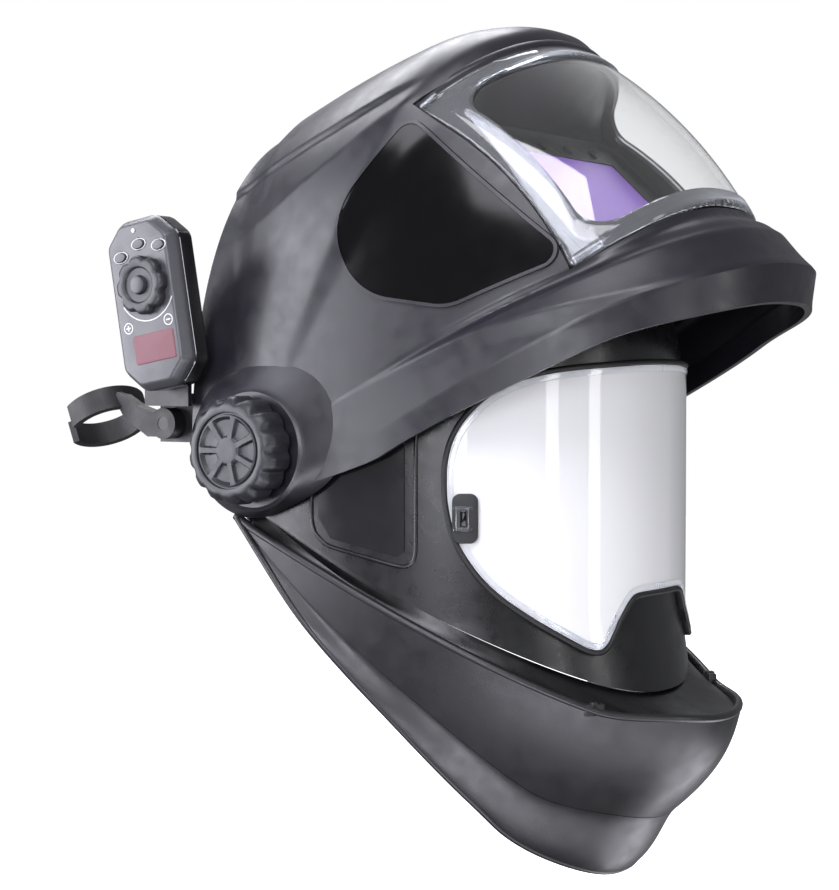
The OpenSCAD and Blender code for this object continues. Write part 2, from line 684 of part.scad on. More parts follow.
headband();
sweatband();
crown_strap();
rear_strap();
nape_pad();
ratchet_housing();
pivot_arms();
pivot_studs();
friction_washers();
air_coupling();
crown_duct();
air_diffuser();
ratchet_knob();
ratchet_pinion();
face_shell();
grinding_visor();
visor_seal();
visor_latches();
side_panels();
pivot_hubs();
chin_duct();
chin_tray();
chin_bib();
chin_latches();
face_seal();
controller_bracket();
controller_back();
controller_front();
controller_display();
controller_lamp();
battery_door();
control_dial();
dial_button();
left_button();
middle_button();
right_button();
hose_clip();
clip_pin();
visor_shell();
visor_bosses();
side_windows();
cover_lens();
lens_clips();
filter_housing();
filter_frame();
filter_glass();
inner_cover_lens();
light_sensors();
pivot_knob_right();
pivot_knob_left();
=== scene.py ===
"""Looks of a powered air respirator: flip-up welding visor, clear face shield, chin duct and head gear."""
import math

import bpy
import numpy as np
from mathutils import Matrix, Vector


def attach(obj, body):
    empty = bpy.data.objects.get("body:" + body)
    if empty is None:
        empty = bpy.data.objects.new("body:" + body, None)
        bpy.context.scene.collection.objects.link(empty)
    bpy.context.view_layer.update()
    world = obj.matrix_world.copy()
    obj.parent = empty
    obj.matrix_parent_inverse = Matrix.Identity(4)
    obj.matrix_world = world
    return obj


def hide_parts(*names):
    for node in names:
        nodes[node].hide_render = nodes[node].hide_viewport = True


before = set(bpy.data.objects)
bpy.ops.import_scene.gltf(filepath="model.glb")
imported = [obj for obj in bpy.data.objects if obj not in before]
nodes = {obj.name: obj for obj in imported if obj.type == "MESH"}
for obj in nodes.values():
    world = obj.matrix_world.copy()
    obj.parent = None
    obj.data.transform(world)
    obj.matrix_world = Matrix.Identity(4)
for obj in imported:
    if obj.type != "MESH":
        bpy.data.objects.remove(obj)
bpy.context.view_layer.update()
MM = 0.001


# ---- numbers and curves ----------------------------------------------------

def sind(a):
    return np.sin(np.radians(a))


def cosd(a):
    return np.cos(np.radians(a))


def asind(v):
    return np.degrees(np.arcsin(np.clip(v, -1, 1)))


def ramp(v, lo, hi):
    t = np.clip((v - lo) / (hi - lo), 0, 1)
    return t * t * (3 - 2 * t)


def mix(a, b, t):
    return a + (b - a) * t


def power(v, e):
    return np.maximum(v, 0) ** e


def spow(v, e):
    return np.sign(v) * np.abs(v) ** e


def line_side(px, py, line):
    """Signed distance from points to an open line; positive on its left."""
    best = np.full(np.shape(px), 1e9)
    sign = np.ones(np.shape(px))
    for (ax, ay), (bx, by) in zip(line[:-1], line[1:]):
        dx, dy = bx - ax, by - ay
        t = np.clip(((px - ax) * dx + (py - ay) * dy) / (dx * dx + dy * dy), 0, 1)
        d = np.hypot(px - ax - t * dx, py - ay - t * dy)
        s = np.sign(dx * (py - ay) - dy * (px - ax))
        sign = np.where(d < best, s, sign)
        best = np.minimum(best, d)
    return best * sign


RAISE = 47


def raised(p):
    """From the closed visor's place to the raised one."""
    p = np.asarray(p, float)
    c, s = cosd(RAISE), sind(RAISE)
    return np.stack([p[..., 0], p[..., 1] * c + p[..., 2] * s, p[..., 2] * c - p[..., 1] * s], -1)


# ---- meshes ----------------------------------------------------------------

def link(name, verts, faces, mat, smooth=35):
    mesh = bpy.data.meshes.new(name)
    mesh.from_pydata((np.asarray(verts, float) * MM).tolist(), [],
                     [list(map(int, f)) for f in faces])
    mesh.validate()
    obj = bpy.data.objects.new(name, mesh)
    bpy.context.scene.collection.objects.link(obj)
    mesh.materials.append(mat)
    finish_mesh(obj, smooth)
    return obj


def finish_mesh(obj, smooth=35):
    obj.data.shade_smooth()
    obj.data.set_sharp_from_angle(angle=math.radians(smooth))


def grid_faces(rows, cols, closed=False, base=0, flip=False):
    out = []
    last = cols if closed else cols - 1
    for i in range(rows - 1):
        for j in range(last):
            k = (j + 1) % cols
            f = (base + i * cols + j, base + i * cols + k, base + (i + 1) * cols + k,
                 base + (i + 1) * cols + j)
            out.append(f[::-1] if flip else f)
    return out


def wall(outer, inner):
    """Closed sheet between two grids of points."""
    rows, cols = outer.shape[:2]
    n = rows * cols
    verts = np.concatenate([outer.reshape(-1, 3), inner.reshape(-1, 3)])
    faces = grid_faces(rows, cols) + grid_faces(rows, cols, base=n, flip=True)
    rim = ([(0, j) for j in range(cols - 1)] + [(i, cols - 1) for i in range(rows - 1)]
           + [(rows - 1, j) for j in range(cols - 1, 0, -1)] + [(i, 0) for i in range(rows - 1, 0,
                                                                                      -1)])
    rim = [i * cols + j for i, j in rim]
    for a, b in zip(rim, rim[1:] + rim[:1]):
        faces.append((b, a, a + n, b + n))
    return outward(verts, faces)


def outward(verts, faces):
    """The same faces, turned so that the closed form's volume is positive."""
    v = np.asarray(verts, float)
    quads = np.array([f for f in faces if len(f) == 4])
    total = 0.0
    for i, j in ((1, 2), (2, 3)):
        total += np.einsum("ij,ij->", v[quads[:, 0]], np.cross(v[quads[:, i]], v[quads[:, j]]))
    for f in faces:
        if len(f) != 4:
            fan = v[list(f)]
            total += np.sum(np.cross(fan[1:-1], fan[2:]) @ fan[0])
    if total < 0:
        faces = [tuple(f)[::-1] for f in faces]
    return v, faces


def tube(rings, closed=False):
    """Closed form through rings of points; capped at its ends unless it runs round."""
    rings = np.asarray(rings, float)
    rows, cols = rings.shape[:2]
    verts = rings.reshape(-1, 3)
    faces = grid_faces(rows, cols, closed=True)
    if closed:
        for j in range(cols):
            k = (j + 1) % cols
            faces.append(((rows - 1) * cols + j, (rows - 1) * cols + k, k, j))
    else:
        faces.append(tuple(range(cols))[::-1])
        faces.append(tuple(range((rows - 1) * cols, rows * cols)))
    return outward(verts, faces)


def round_rect(l, w, r, steps=10):
    pts = []
    for c in range(4):
        sx, sy = (1, -1, -1, 1)[c], (1, 1, -1, -1)[c]
        for k in range(steps + 1):
            q = c * 90 + k * 90 / steps
            pts.append((sx * (l / 2 - r) + r * cosd(q), sy * (w / 2 - r) + r * sind(q)))
    return np.array(pts)


def smooth_corners(loop, r, steps=8):
    """Closed outline with each corner rounded over r of its sides."""
    out = []
    for i, p in enumerate(loop):
        a, b = loop[i - 1] - p, loop[(i + 1) % len(loop)] - p
        a, b = p + a / np.linalg.norm(a) * r, p + b / np.linalg.norm(b) * r
        for t in np.linspace(0, 1, steps + 1):
            out.append((1 - t) ** 2 * a + 2 * t * (1 - t) * p + t * t * b)
    return np.array(out)


def circle(r, steps=64):
    q = np.arange(steps) * 360 / steps
    return np.stack([r * cosd(q), r * sind(q)], -1)


def grown(loop, d):
    """A closed outline moved outwards by d."""
    prev, nxt = np.roll(loop, 1, 0), np.roll(loop, -1, 0)
    t = nxt - prev
    t /= np.linalg.norm(t, axis=1)[:, None] + 1e-12
    return loop + d * np.stack([t[:, 1], -t[:, 0]], -1)


def turned(profile, loop):
    """Rings of a local form: profile rows are (shrink, z), loop the outline at shrink 0."""
    return [np.concatenate([grown(loop, -s), np.full((len(loop), 1), z)], 1) for s, z in profile]


def lathe(profile, steps=96):
    """Rings about the local z axis; profile rows are (radius, z)."""
    return [np.concatenate([circle(r, steps), np.full((steps, 1), z)], 1) for r, z in profile]


def cut(obj, cutter, operation="DIFFERENCE", smooth=35):
    m = obj.modifiers.new("cut", "BOOLEAN")
    m.operation = operation
    m.solver = "MANIFOLD"
    m.object = cutter
    applied(obj)
    bpy.data.objects.remove(cutter)
    finish_mesh(obj, smooth)
    return obj


def applied(obj):
    graph = bpy.context.evaluated_depsgraph_get()
    mesh = bpy.data.meshes.new_from_object(obj.evaluated_get(graph))
    obj.modifiers.clear()
    obj.data = mesh
    return obj


def place(obj, body, slot, *stands_for):
    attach(obj, body)
    if stands_for:
        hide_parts(*stands_for)
    return obj


# ---- materials -------------------------------------------------------------

def material(name, colour, rough, metal=0.0, coat=0.0, spec=0.5, grain=0.0, grain_size=0.6,
             mottle=0.12,
             mottle_size=40, rough_spread=0.06, sheen=0.0, weave=0.0, brushed=None):
    """Moulded plastic, rubber, cloth or metal: colour drift, fine grain and uneven gloss. Sizes in mm."""
    mat = bpy.data.materials.new(name)
    mat.use_nodes = True
    tree = mat.node_tree
    shader = tree.nodes["Principled BSDF"]
    shader.inputs["Metallic"].default_value = metal
    shader.inputs["Coat Weight"].default_value = coat
    shader.inputs["Coat Roughness"].default_value = 0.06
    shader.inputs["Specular IOR Level"].default_value = spec
    shader.inputs["Sheen Weight"].default_value = sheen
    shader.inputs["Sheen Roughness"].default_value = 0.4
    where = tree.nodes.new("ShaderNodeTexCoord")
    place_in = tree.nodes.new("ShaderNodeMapping")
    tree.links.new(where.outputs["Object"], place_in.inputs["Vector"])
    if brushed:
        place_in.inputs["Scale"].default_value = brushed

    def noise(size, detail, vector):
        node = tree.nodes.new("ShaderNodeTexNoise")
        node.inputs["Scale"].default_value = 1000 / size
        node.inputs["Detail"].default_value = detail
        tree.links.new(vector, node.inputs["Vector"])
        return node

    broad = noise(mottle_size, 4, where.outputs["Object"])
    tint = tree.nodes.new("ShaderNodeMix")
    tint.data_type = "RGBA"
    tint.inputs["A"].default_value = [c * (1 - mottle) for c in colour] + [1]
    tint.inputs["B"].default_value = [min(1, c * (1 + mottle)) for c in colour] + [1]
    tree.links.new(broad.outputs["Fac"], tint.inputs["Factor"])
    tree.links.new(tint.outputs["Result"], shader.inputs["Base Color"])
    mid = noise(mottle_size * 0.2, 3, place_in.outputs["Vector"])
    gloss = tree.nodes.new("ShaderNodeMapRange")
    gloss.inputs["From Min"].default_value = 0.3
    gloss.inputs["From Max"].default_value = 0.7
    gloss.inputs["To Min"].default_value = max(0.01, rough - rough_spread)
    gloss.inputs["To Max"].default_value = min(1, rough + rough_spread)
    tree.links.new(mid.outputs["Fac"], gloss.inputs["Value"])
    tree.links.new(gloss.outputs["Result"], shader.inputs["Roughness"])
    if grain or weave:
        bump = tree.nodes.new("ShaderNodeBump")
        bump.inputs["Strength"].default_value = grain or weave
        bump.inputs["Distance"].default_value = 0.0002 if grain else 0.0006
        if weave:
            fine = tree.nodes.new("ShaderNodeTexVoronoi")
            fine.inputs["Scale"].default_value = 1000 / grain_size
            fine.feature = "F1"
            tree.links.new(place_in.outputs["Vector"], fine.inputs["Vector"])
            tree.links.new(fine.outputs["Distance"], bump.inputs["Height"])
        else:
            fine = noise(grain_size, 2, place_in.outputs["Vector"])
            tree.links.new(fine.outputs["Fac"], bump.inputs["Height"])
        tree.links.new(bump.outputs["Normal"], shader.inputs["Normal"])
    return mat


def clear(name, colour, rough, transmission=1.0, ior=1.5, alpha=1.0):
    """Clear or tinted sheet with faint haze."""
    mat = material(name, colour, rough, mottle=0.01, rough_spread=min(rough, 0.012), grain=0.0,
                   coat=0.0)
    shader = mat.node_tree.nodes["Principled BSDF"]
    shader.inputs["Transmission Weight"].default_value = transmission
    shader.inputs["IOR"].default_value = ior
    shader.inputs["Alpha"].default_value = alpha
    return mat


M = {
    "satin_shell": material("satin_shell", (0.013, 0.012, 0.017), 0.36, grain=0.22, grain_size=0.5,
                            coat=0.0),
    "dark_shell": material("dark_shell", (0.005, 0.005, 0.006), 0.30, grain=0.20, grain_size=0.5),
    "duct_grey": material("duct_grey", (0.014, 0.014, 0.016), 0.38, grain=0.22, grain_size=0.5),
    "black_plastic": material("black_plastic", (0.006, 0.006, 0.007), 0.45, grain=0.15,
                              grain_size=0.6),
    "gloss_black": material("gloss_black", (0.0025, 0.0025, 0.003), 0.14, spec=0.22,
                            rough_spread=0.02),
    "panel_grey": material("panel_grey", (0.010, 0.010, 0.012), 0.16, coat=0.5, rough_spread=0.03),
    "strap_plastic": material("strap_plastic", (0.013, 0.013, 0.015), 0.45, grain=0.3,
                              grain_size=0.7),
    "foam": material("foam", (0.030, 0.030, 0.034), 0.85, sheen=0.4, weave=0.6, grain_size=1.1,
                     spec=0.2),
    "seal_foam": material("seal_foam", (0.016, 0.016, 0.018), 0.9, sheen=0.3, weave=0.6,
                          grain_size=1.4, spec=0.2),
    "steel": material("steel", (0.55, 0.55, 0.57), 0.3, metal=1.0, brushed=(1, 8, 8), mottle=0.05),
    "nylon": material("nylon", (0.6, 0.6, 0.56), 0.42, grain=0.2),
    "knob_plastic": material("knob_plastic", (0.018, 0.018, 0.023), 0.42, grain=0.3,
                             grain_size=0.45),
    "controller_grey": material("controller_grey", (0.060, 0.060, 0.068), 0.34, grain=0.3,
                                grain_size=0.35),
    "controller_black": material("controller_black", (0.006, 0.006, 0.007), 0.16, coat=0.4,
                                 rough_spread=0.03),
    "display_window": material("display_window", (0.15, 0.055, 0.07), 0.4, spec=0.25,
                               rough_spread=0.03),
    "lamp_white": material("lamp_white", (0.7, 0.7, 0.7), 0.2, coat=0.5),
    "button_grey": material("button_grey", (0.045, 0.045, 0.052), 0.35, grain=0.2, grain_size=0.4),
    "rubber_black": material("rubber_black", (0.007, 0.007, 0.008), 0.55, grain=0.4,
                             grain_size=0.6),
    "mark_white": material("mark_white", (0.62, 0.62, 0.62), 0.5, grain=0.1),
    "mark_red": material("mark_red", (0.55, 0.02, 0.015), 0.45, grain=0.1),
    "clear_sheet": clear("clear_sheet", (0.97, 0.98, 0.99), 0.02),
    "clear_rim": clear("clear_rim", (0.80, 0.82, 0.86), 0.06, transmission=0.96),
    "shield_sheet": clear("shield_sheet", (0.78, 0.78, 0.785), 0.05, transmission=0.06),
    "purple_filter": material("purple_filter", (0.33, 0.17, 0.66), 0.25, metal=0.0, mottle=0.04,
                              rough_spread=0.01),
}

# ---- camera, light and stage -----------------------------------------------

VIEW_TURN, VIEW_DIP = math.radians(33), math.radians(2)
view = Vector((math.cos(VIEW_TURN) * math.cos(VIEW_DIP),
               math.sin(VIEW_TURN) * math.cos(VIEW_DIP), -math.sin(VIEW_DIP)))
cam_data = bpy.data.cameras.new("camera")
cam_data.lens = 89.2
cam_data.sensor_width = 36
cam_data.clip_end = 50
cam = bpy.data.objects.new("camera", cam_data)
cam.location = (-0.8728, -0.5828, 0.03546)
cam.rotation_euler = view.to_track_quat("-Z", "Y").to_euler()
bpy.context.scene.collection.objects.link(cam)
bpy.context.scene.camera = cam


def lamp(name, at, target, size, watts, colour=(1, 1, 1)):
    data = bpy.data.lights.new(name, "AREA")
    data.shape = "RECTANGLE"
    data.size, data.size_y = size
    data.energy = watts
    data.color = colour
    obj = bpy.data.objects.new(name, data)
    obj.location = at
    obj.rotation_euler = (Vector(target) - Vector(at)).to_track_quat("-Z", "Y").to_euler()
    bpy.context.scene.collection.objects.link(obj)
    return obj


BLUE_WHITE, COOL_WHITE, SKY_WHITE = (0.92, 0.92, 1.0), (0.93, 0.92, 1.0), (0.95, 0.95, 1.0)
lamp("softbox_left", (-1.0, 1.08, 0.15), (0, 0, 0.03), (1.2, 1.4), 42, colour=BLUE_WHITE)
lamp("softbox_back", (0.5, 0.75, 1.3), (0, 0, 0.05), (1.3, 0.9), 26, colour=SKY_WHITE)
lamp("softbox_top", (-0.95, -0.4, 1.15), (-0.08, -0.12, 0.08), (0.9, 0.6), 15, colour=COOL_WHITE)
lamp("front_left", (-1.42, -0.42, 0.22), (-0.1, -0.05, 0.02), (0.5, 0.6), 11, colour=BLUE_WHITE)
lamp("low_left", (-1.2, -0.5, -0.8), (-0.08, -0.1, -0.06), (0.8, 0.5), 12, colour=COOL_WHITE)
lamp("low_front", (-0.45, -0.95, -0.9), (0, 0, 0), (1.3, 0.7), 9, colour=COOL_WHITE)
lamp("low_right", (0.6, -0.7, -0.95), (0, -0.1, 0), (1.2, 0.6), 10, colour=COOL_WHITE)
for strip_name, strip_x, strip_w in (("strip_a", -0.62, 0.2), ("strip_b", 0.1, 0.2)):
    lamp(strip_name, (strip_x, -1.45, 0.05), (0, -0.1, 0), (strip_w, 0.9), 3)

bpy.context.scene.view_settings.view_transform = "Standard"
world = bpy.data.worlds.new("studio")
bpy.context.scene.world = world
world.use_nodes = True
tree = world.node_tree
dim = tree.nodes["Background"]
dim.inputs["Color"].default_value = (0.93, 0.94, 1.0, 1)
dim.inputs["Strength"].default_value = 0.28
bright = tree.nodes.new("ShaderNodeBackground")
bright.inputs["Color"].default_value = (1, 1, 1, 1)
path = tree.nodes.new("ShaderNodeLightPath")
seen = tree.nodes.new("ShaderNodeMath")
seen.operation = "MAXIMUM"
tree.links.new(path.outputs["Is Camera Ray"], seen.inputs[0])
tree.links.new(path.outputs["Is Transmission Ray"], seen.inputs[1])
backdrop = tree.nodes.new("ShaderNodeMixShader")
tree.links.new(seen.outputs["Value"], backdrop.inputs["Fac"])
tree.links.new(dim.outputs["Background"], backdrop.inputs[1])
tree.links.new(bright.outputs["Background"], backdrop.inputs[2])
tree.links.new(backdrop.outputs["Shader"], tree.nodes["World Output"].inputs["Surface"])

stage_mat = material("stage", (0.86, 0.86, 0.87), 0.8, mottle=0.01, mottle_size=400)
floor_grid = np.array([[(x, y, -290) for x in np.linspace(-3500, 3500,
                                                          9)] for y in np.linspace(-3500, 3500, 9)])
floor = link("stage_floor", floor_grid.reshape(-1, 3), grid_faces(9, 9), stage_mat)
floor.visible_glossy = False
floor.visible_diffuse = False
stage_mat.node_tree.nodes["Principled BSDF"].inputs["Emission Color"].default_value = (1, 1, 1, 1)
stage_mat.node_tree.nodes["Principled BSDF"].inputs["Emission Strength"].default_value = 0.85

# ---- visor form ------------------------------------------------------------

VISOR_W, FRONT, LENS_R, LENS_W, REAR_R = 105.5, 203.0, 204.5, 76.5, 151.0
LENS_E = float(asind((LENS_W / VISOR_W) ** 1.225))
SHOULDER = [(40, 84), (70, 74), (110, 65), (131, 61.5), (156, 55.5)]
SPINE = [(20, 118), (69, 101), (118, 78), (141, 69), (156, 64), (168, 59), (177, 59)]


def lens_top(e):
    return 13.5 + 6 * (e / LENS_E) ** 2


def lens_low(e):
    return -16.2 - 2.1 * (e / LENS_E) ** 2


def visor_radius(a, e):
    front = FRONT / cosd(np.clip(a, -50, 80))
    crown = 155 / cosd(np.clip(a, 14, 100) - 62.8)
    top = ((front + 1) ** -16.0 + crown ** -16.0) ** (-1 / 16)
    c = np.clip(e, -LENS_E, LENS_E)
    low = mix(front, LENS_R, ramp(a, -20.8, lens_low(c) - 0.5))
    return mix(mix(low, top, ramp(a - lens_top(c), -0.5, 3.5)), REAR_R, ramp(a, 50, 60))


def visor_power(a):
    return mix(mix(2.45, 2.7, ramp(a, 14, 24)), 2.2, ramp(a, 30, 60))


def visor_low(ratio):
    rho = 212 * ratio
    return -22.3 - asind(np.minimum(1, 22 / np.maximum(rho, 1e-6))) - 1.5 * ramp(rho, 150, 210)


def visor_high(ratio):
    rho = REAR_R * ratio
    return 43 + asind(np.minimum(1, 38 / np.maximum(rho, 1e-6)))


def rib_end(r, n):
    return asind((24 / r) ** (n / 2))


def visor_detail(a, e, rho):
    """Height of the creases and steps above the plain visor wall, in mm."""
    fwd, up = rho * cosd(a), rho * sind(a)
    side = ramp(np.abs(e), 30, 46)
    h = 0.0 * a
    d = line_side(fwd, up, SHOULDER[::-1])
    h = h + 1.3 * np.exp(-np.abs(d) / 9) * side * ramp(fwd, 40, 75)
    d = line_side(fwd, up, SPINE[::-1])
    h = h + 1.6 * (ramp(-d, -1.2, 1.2)) * ramp(a, 20, 26) * ramp(fwd, 10, 40)
    # lip: from the crest the upper band slopes out to the crease, the lower band falls back to the edge
    ratio = np.clip(rho / 203, 0, 1)
    crease = mix(-20.9, -25.4, ramp(ratio, 0.45, 0.98))
    crest = mix(-19.0, -20.2, ramp(ratio, 0.5, 1))
    lip = ramp(ratio, 0.3, 0.75)
    t = np.clip((crest - a) / (crest - crease), 0, 1)
    upper = mix(-1.8, 1.5, t)
    lower = mix(0, -1.2, np.clip((crease - a) / 3.5, 0, 1))
    h = h + lip * np.where(a < crest, upper + lower, -1.8 * ramp(a, crest + 1.6, crest))
    return h


def visor_surface(u, v, inset, detail=True):
    r_low = power(cosd(v * (90 - rib_end(212, 2.45))), 2 / 2.45)
    r_high = power(cosd(v * (90 - rib_end(REAR_R, 2.2))), 2 / 2.2)
    a = mix(visor_low(r_low), visor_high(r_high), u)
    n = visor_power(a)
    e = v * (90 - rib_end(visor_radius(a, 0 * a), n))
    big = visor_radius(a, e)
    turn = np.maximum(0, 1 - u / 0.045)
    tuck = 6 * ramp(-a, 18, 26) + 14 * turn
    base = big - tuck * ramp(r_low, 0.5, 1)
    rho0 = base * power(cosd(e), 2 / n)
    lift = visor_detail(a, e, rho0) if detail else 0
    rho = (base - inset + lift) * power(cosd(e), 2 / n)
    x = (VISOR_W - 4 * turn * ramp(r_low, 0.2, 0.6) - inset + lift) * spow(sind(e), 2 / n)
    return np.stack([x, -rho * cosd(a), rho * sind(a)], -1)


def visor_grid(inset, nu, nv, detail=True, v0=-1, v1=1):
    us = np.concatenate([np.linspace(0, 0.045, 9)[:-1], np.linspace(0.045, 0.2, nu // 3)[:-1],
                         np.linspace(0.2, 1, nu - nu // 3)])
    u, v = np.meshgrid(us, np.linspace(v0, v1, nv), indexing="ij")
    return raised(visor_surface(u, v, inset, detail))


def lens_surface(e, a, inset):
    rho = (LENS_R - inset) * power(cosd(e), 2 / 2.45)
    return np.stack([(VISOR_W - inset) * spow(sind(e), 2 / 2.45), -rho * cosd(a), rho * sind(a)],
                    -1)


def lens_grid(inset, e0, e1, low, high, ni, nj):
    t, s = np.meshgrid(np.linspace(0, 1, ni), np.linspace(0, 1, nj), indexing="ij")
    e = mix(e0, e1, s)
    c = np.clip(e, -LENS_E, LENS_E)
    return raised(lens_surface(e, mix(lens_low(c) + low, lens_top(c) + high, t), inset))


def lens_sheet(name, mat, outer, inner, e0, e1, low, high, ni=40, nj=90):
    v, f = wall(lens_grid(outer, e0, e1, low, high, ni, nj),
                lens_grid(inner, e0, e1, low, high, ni, nj))
    return link(name, v, f, mat)


def hull_2d(points):
    pts = sorted(map(tuple, points))

    def half(seq):
        out = []
        for p in seq:
            while len(out) > 1 and ((out[-1][0] - out[-2][0]) * (p[1] - out[-2][1])
                                    - (out[-1][1] - out[-2][1]) * (p[0] - out[-2][0])) <= 0:
                out.pop()
            out.append(p)
        return out[:-1]
    return np.array(half(pts) + half(pts[::-1]))


WINDOW = [(118, 14, 31), (123, -7, 23), (143, 44, 5), (148, -36, 6)]


def window_prism(x0, x1, grow):
    loop = hull_2d(np.concatenate([circle(r + grow, 96) + [-f, up] for f, up, r in WINDOW]))
    rings = [raised(np.concatenate([np.full((len(loop), 1), x), loop], 1)) for x in (x0, x1)]
    v, f = tube(rings)
    return link("prism", v, f, M["gloss_black"])


shell = link("visor_shell_form", *wall(visor_grid(0, 150, 220), visor_grid(3, 150, 220, False)),
             M["satin_shell"])
cut(shell, lens_sheet("cutter", M["satin_shell"], -14, 14, -LENS_E - 0.3, LENS_E + 0.3, -0.2, 0.2,
                      30, 90))
for sx in (-1, 1):
    rings = [raised(np.concatenate([np.full((96, 1), x), circle(33.7, 96) + [5, 3]],
                                   1)) for x in (sx * 90, sx * 120)]
    cut(shell, link("cutter", *tube(rings), M["satin_shell"]))
place(shell, "visor", "satin_shell", "visor_shell")

for sx, tag in ((-1, "right"), (1, "left")):
    lo, hi = (-110, -20) if sx < 0 else (20, 110)
    part = (90, 90, False) + ((-0.95, -0.2) if sx < 0 else (0.2, 0.95))
    pane = link("side_window_" + tag, *wall(visor_grid(-1.2, *part), visor_grid(-0.1, *part)),
                M["gloss_black"])
    cut(pane, window_prism(lo, hi, 0), "INTERSECT")
    place(pane, "visor", "gloss_black", *(["side_windows"] if sx < 0 else []))
    rim = link("side_window_rim_" + tag, *wall(visor_grid(-1.6, *part), visor_grid(-0.05, *part)),
               M["satin_shell"])
    cut(rim, window_prism(lo, hi, 1.5), "INTERSECT")
    cut(rim, window_prism(lo - 5, hi + 5, 0.1))
    place(rim, "visor", "satin_shell")


def bead_over_lens(name, mat, path, radius_out, radius_wide):
    """Rounded bead along a path of (e, a, inset) rows on the lens surface."""
    e, a, inset = path.T
    centre = lens_surface(e, a, inset)
    along = np.gradient(centre, axis=0)
    along /= np.linalg.norm(along, axis=1)[:, None]
    out = lens_surface(e, a, inset - 1) - centre
    out /= np.linalg.norm(out, axis=1)[:, None]
    wide = np.cross(along, out)
    q = np.arange(16) * 360 / 16
    rings = [raised(c + np.outer(cosd(q) * radius_out, o) + np.outer(sind(q) * radius_wide, w))
             for c, o, w in zip(centre, out, wide)]
    return link(name, *tube(rings), mat)


es = np.linspace(-LENS_E - 0.5, LENS_E + 0.5, 90)
roof = bead_over_lens("visor_roof_lip", M["satin_shell"],
                      np.stack([es, lens_top(np.clip(es, -LENS_E, LENS_E)) + 0.75, 0 * es + 0.4],
                               -1), 2.3, 3.0)
place(roof, "visor", "satin_shell")

# clear cover lens: pane with a frosted moulded rim round a rounded opening
pane = lens_sheet("lens_pane", M["clear_sheet"], 0.4, 2.0, -LENS_E + 0.6, LENS_E - 0.6, 0.2, -0.2)
place(pane, "visor", "clear_sheet", "cover_lens")


def corner_loop(rx, ry, n=24):
    """Square outline from -1 to 1 with rounded corners, the same number of points for every rounding."""
    pts = []
    for c, (sx, sy) in enumerate(((1, 1), (-1, 1), (-1, -1), (1, -1))):
        for q in np.linspace(c * 90, c * 90 + 90, n):
            pts.append((sx * (1 - rx) + rx * cosd(q), sy * (1 - ry) + ry * sind(q)))
        nxt = ((-1, 1), (-1, -1), (1, -1), (1, 1))[c]
        a = np.array(pts[-1])
        q = c * 90 + 90
        b = np.array((nxt[0] * (1 - rx) + rx * cosd(q), nxt[1] * (1 - ry) + ry * sind(q)))
        for t in np.linspace(0, 1, 40)[1:-1]:
            pts.append(tuple(mix(a, b, t)))
    return np.array(pts)


def lens_ring(name, mat, rows):
    """Ring round the lens; rows are (share of the way in, inset)."""
    out_loop, in_loop = corner_loop(0.02, 0.04), corner_loop(0.22, 0.3)
    rings = []
    for t, inset in rows:
        p = mix(out_loop, in_loop, t)
        e_lim = mix(LENS_E - 0.1, 36.6, t)
        e = p[:, 0] * e_lim
        top, low = lens_top(e) - 2.7 * t - 0.1, lens_low(e) + 2.6 * t + 0.1
        rings.append(raised(lens_surface(e, mix(low, top, (p[:, 1] + 1) / 2), inset)))
    return link(name, *tube(rings, closed=True), mat, 50)


ring = lens_ring("lens_rim", M["clear_rim"],
                 [(0, -0.3), (0.06, -0.9), (0.5, -1.0), (0.85, -0.9), (0.97, -0.4), (1, 0.35),
                  (0.5, 0.38), (0.0, 0.38)])
place(ring, "visor", "clear_lugs")

# black funnel between the cover lens and the filter; its walls hide part of the filter
def lens_loop(t, inset):
    p = mix(corner_loop(0.02, 0.04), corner_loop(0.22, 0.3), t)
    e = p[:, 0] * mix(LENS_E - 0.1, 36.6, t)
    top, low = lens_top(e) - 2.7 * t - 0.1, lens_low(e) + 2.6 * t + 0.1
    return lens_surface(e, mix(low, top, (p[:, 1] + 1) / 2), inset)


def plate_loop(half_w, half_h, fwd):
    p = corner_loop(0.1, 0.14)
    return np.stack([p[:, 0] * half_w, 0 * p[:, 0] - fwd, p[:, 1] * half_h - 8], -1)


rows = [lens_loop(0.02, 2.5), lens_loop(0.6, 2.5), lens_loop(1.0, 2.5), lens_loop(1.02, 3.0),
        lens_loop(0.97, 4.2),
        lens_loop(0.55, 4.4), plate_loop(72, 47, 158.5), plate_loop(69, 44, 157.4),
        plate_loop(57.6, 39.6, 157.4),
        plate_loop(57.6, 39.6, 155), plate_loop(73.5, 48.5, 156), lens_loop(0.25, 5.5),
        lens_loop(0.02, 3.4)]
funnel = link("filter_funnel", *tube([raised(p) for p in rows], closed=True), M["black_plastic"])
place(funnel, "visor", "black_plastic", "filter_housing")

# clear lugs at the corners of the cover lens
for sx, tag in ((-1, "right"), (1, "left")):
    for name, e0, e1, a0, a1 in (("low", LENS_E - 6.5, LENS_E - 0.5, -16.9, -17.6),
                                 ("top", LENS_E - 4.0, LENS_E - 0.3, 18.3, 18.9)):
        t = np.linspace(0, 1, 12)
        path = np.stack([sx * mix(e0, e1, t), mix(a0, a1, t), 0 * t - 0.4], -1)
        lug = bead_over_lens("lens_lug_%s_%s" % (name, tag), M["clear_rim"], path, 1.7, 2.6)
        place(lug, "visor", "clear_lugs")

# ---- face shell, shield and rim --------------------------------------------

FACE_W, FACE_FRONT, FACE_N = 99.0, 141.0, 2.3


def face_shrink(z):
    return np.sqrt(1 - (np.maximum(0, z - 38) / 92) ** 2)


def face_narrow(z):
    return 1 - 0.06 * ramp(z, 26, 56)


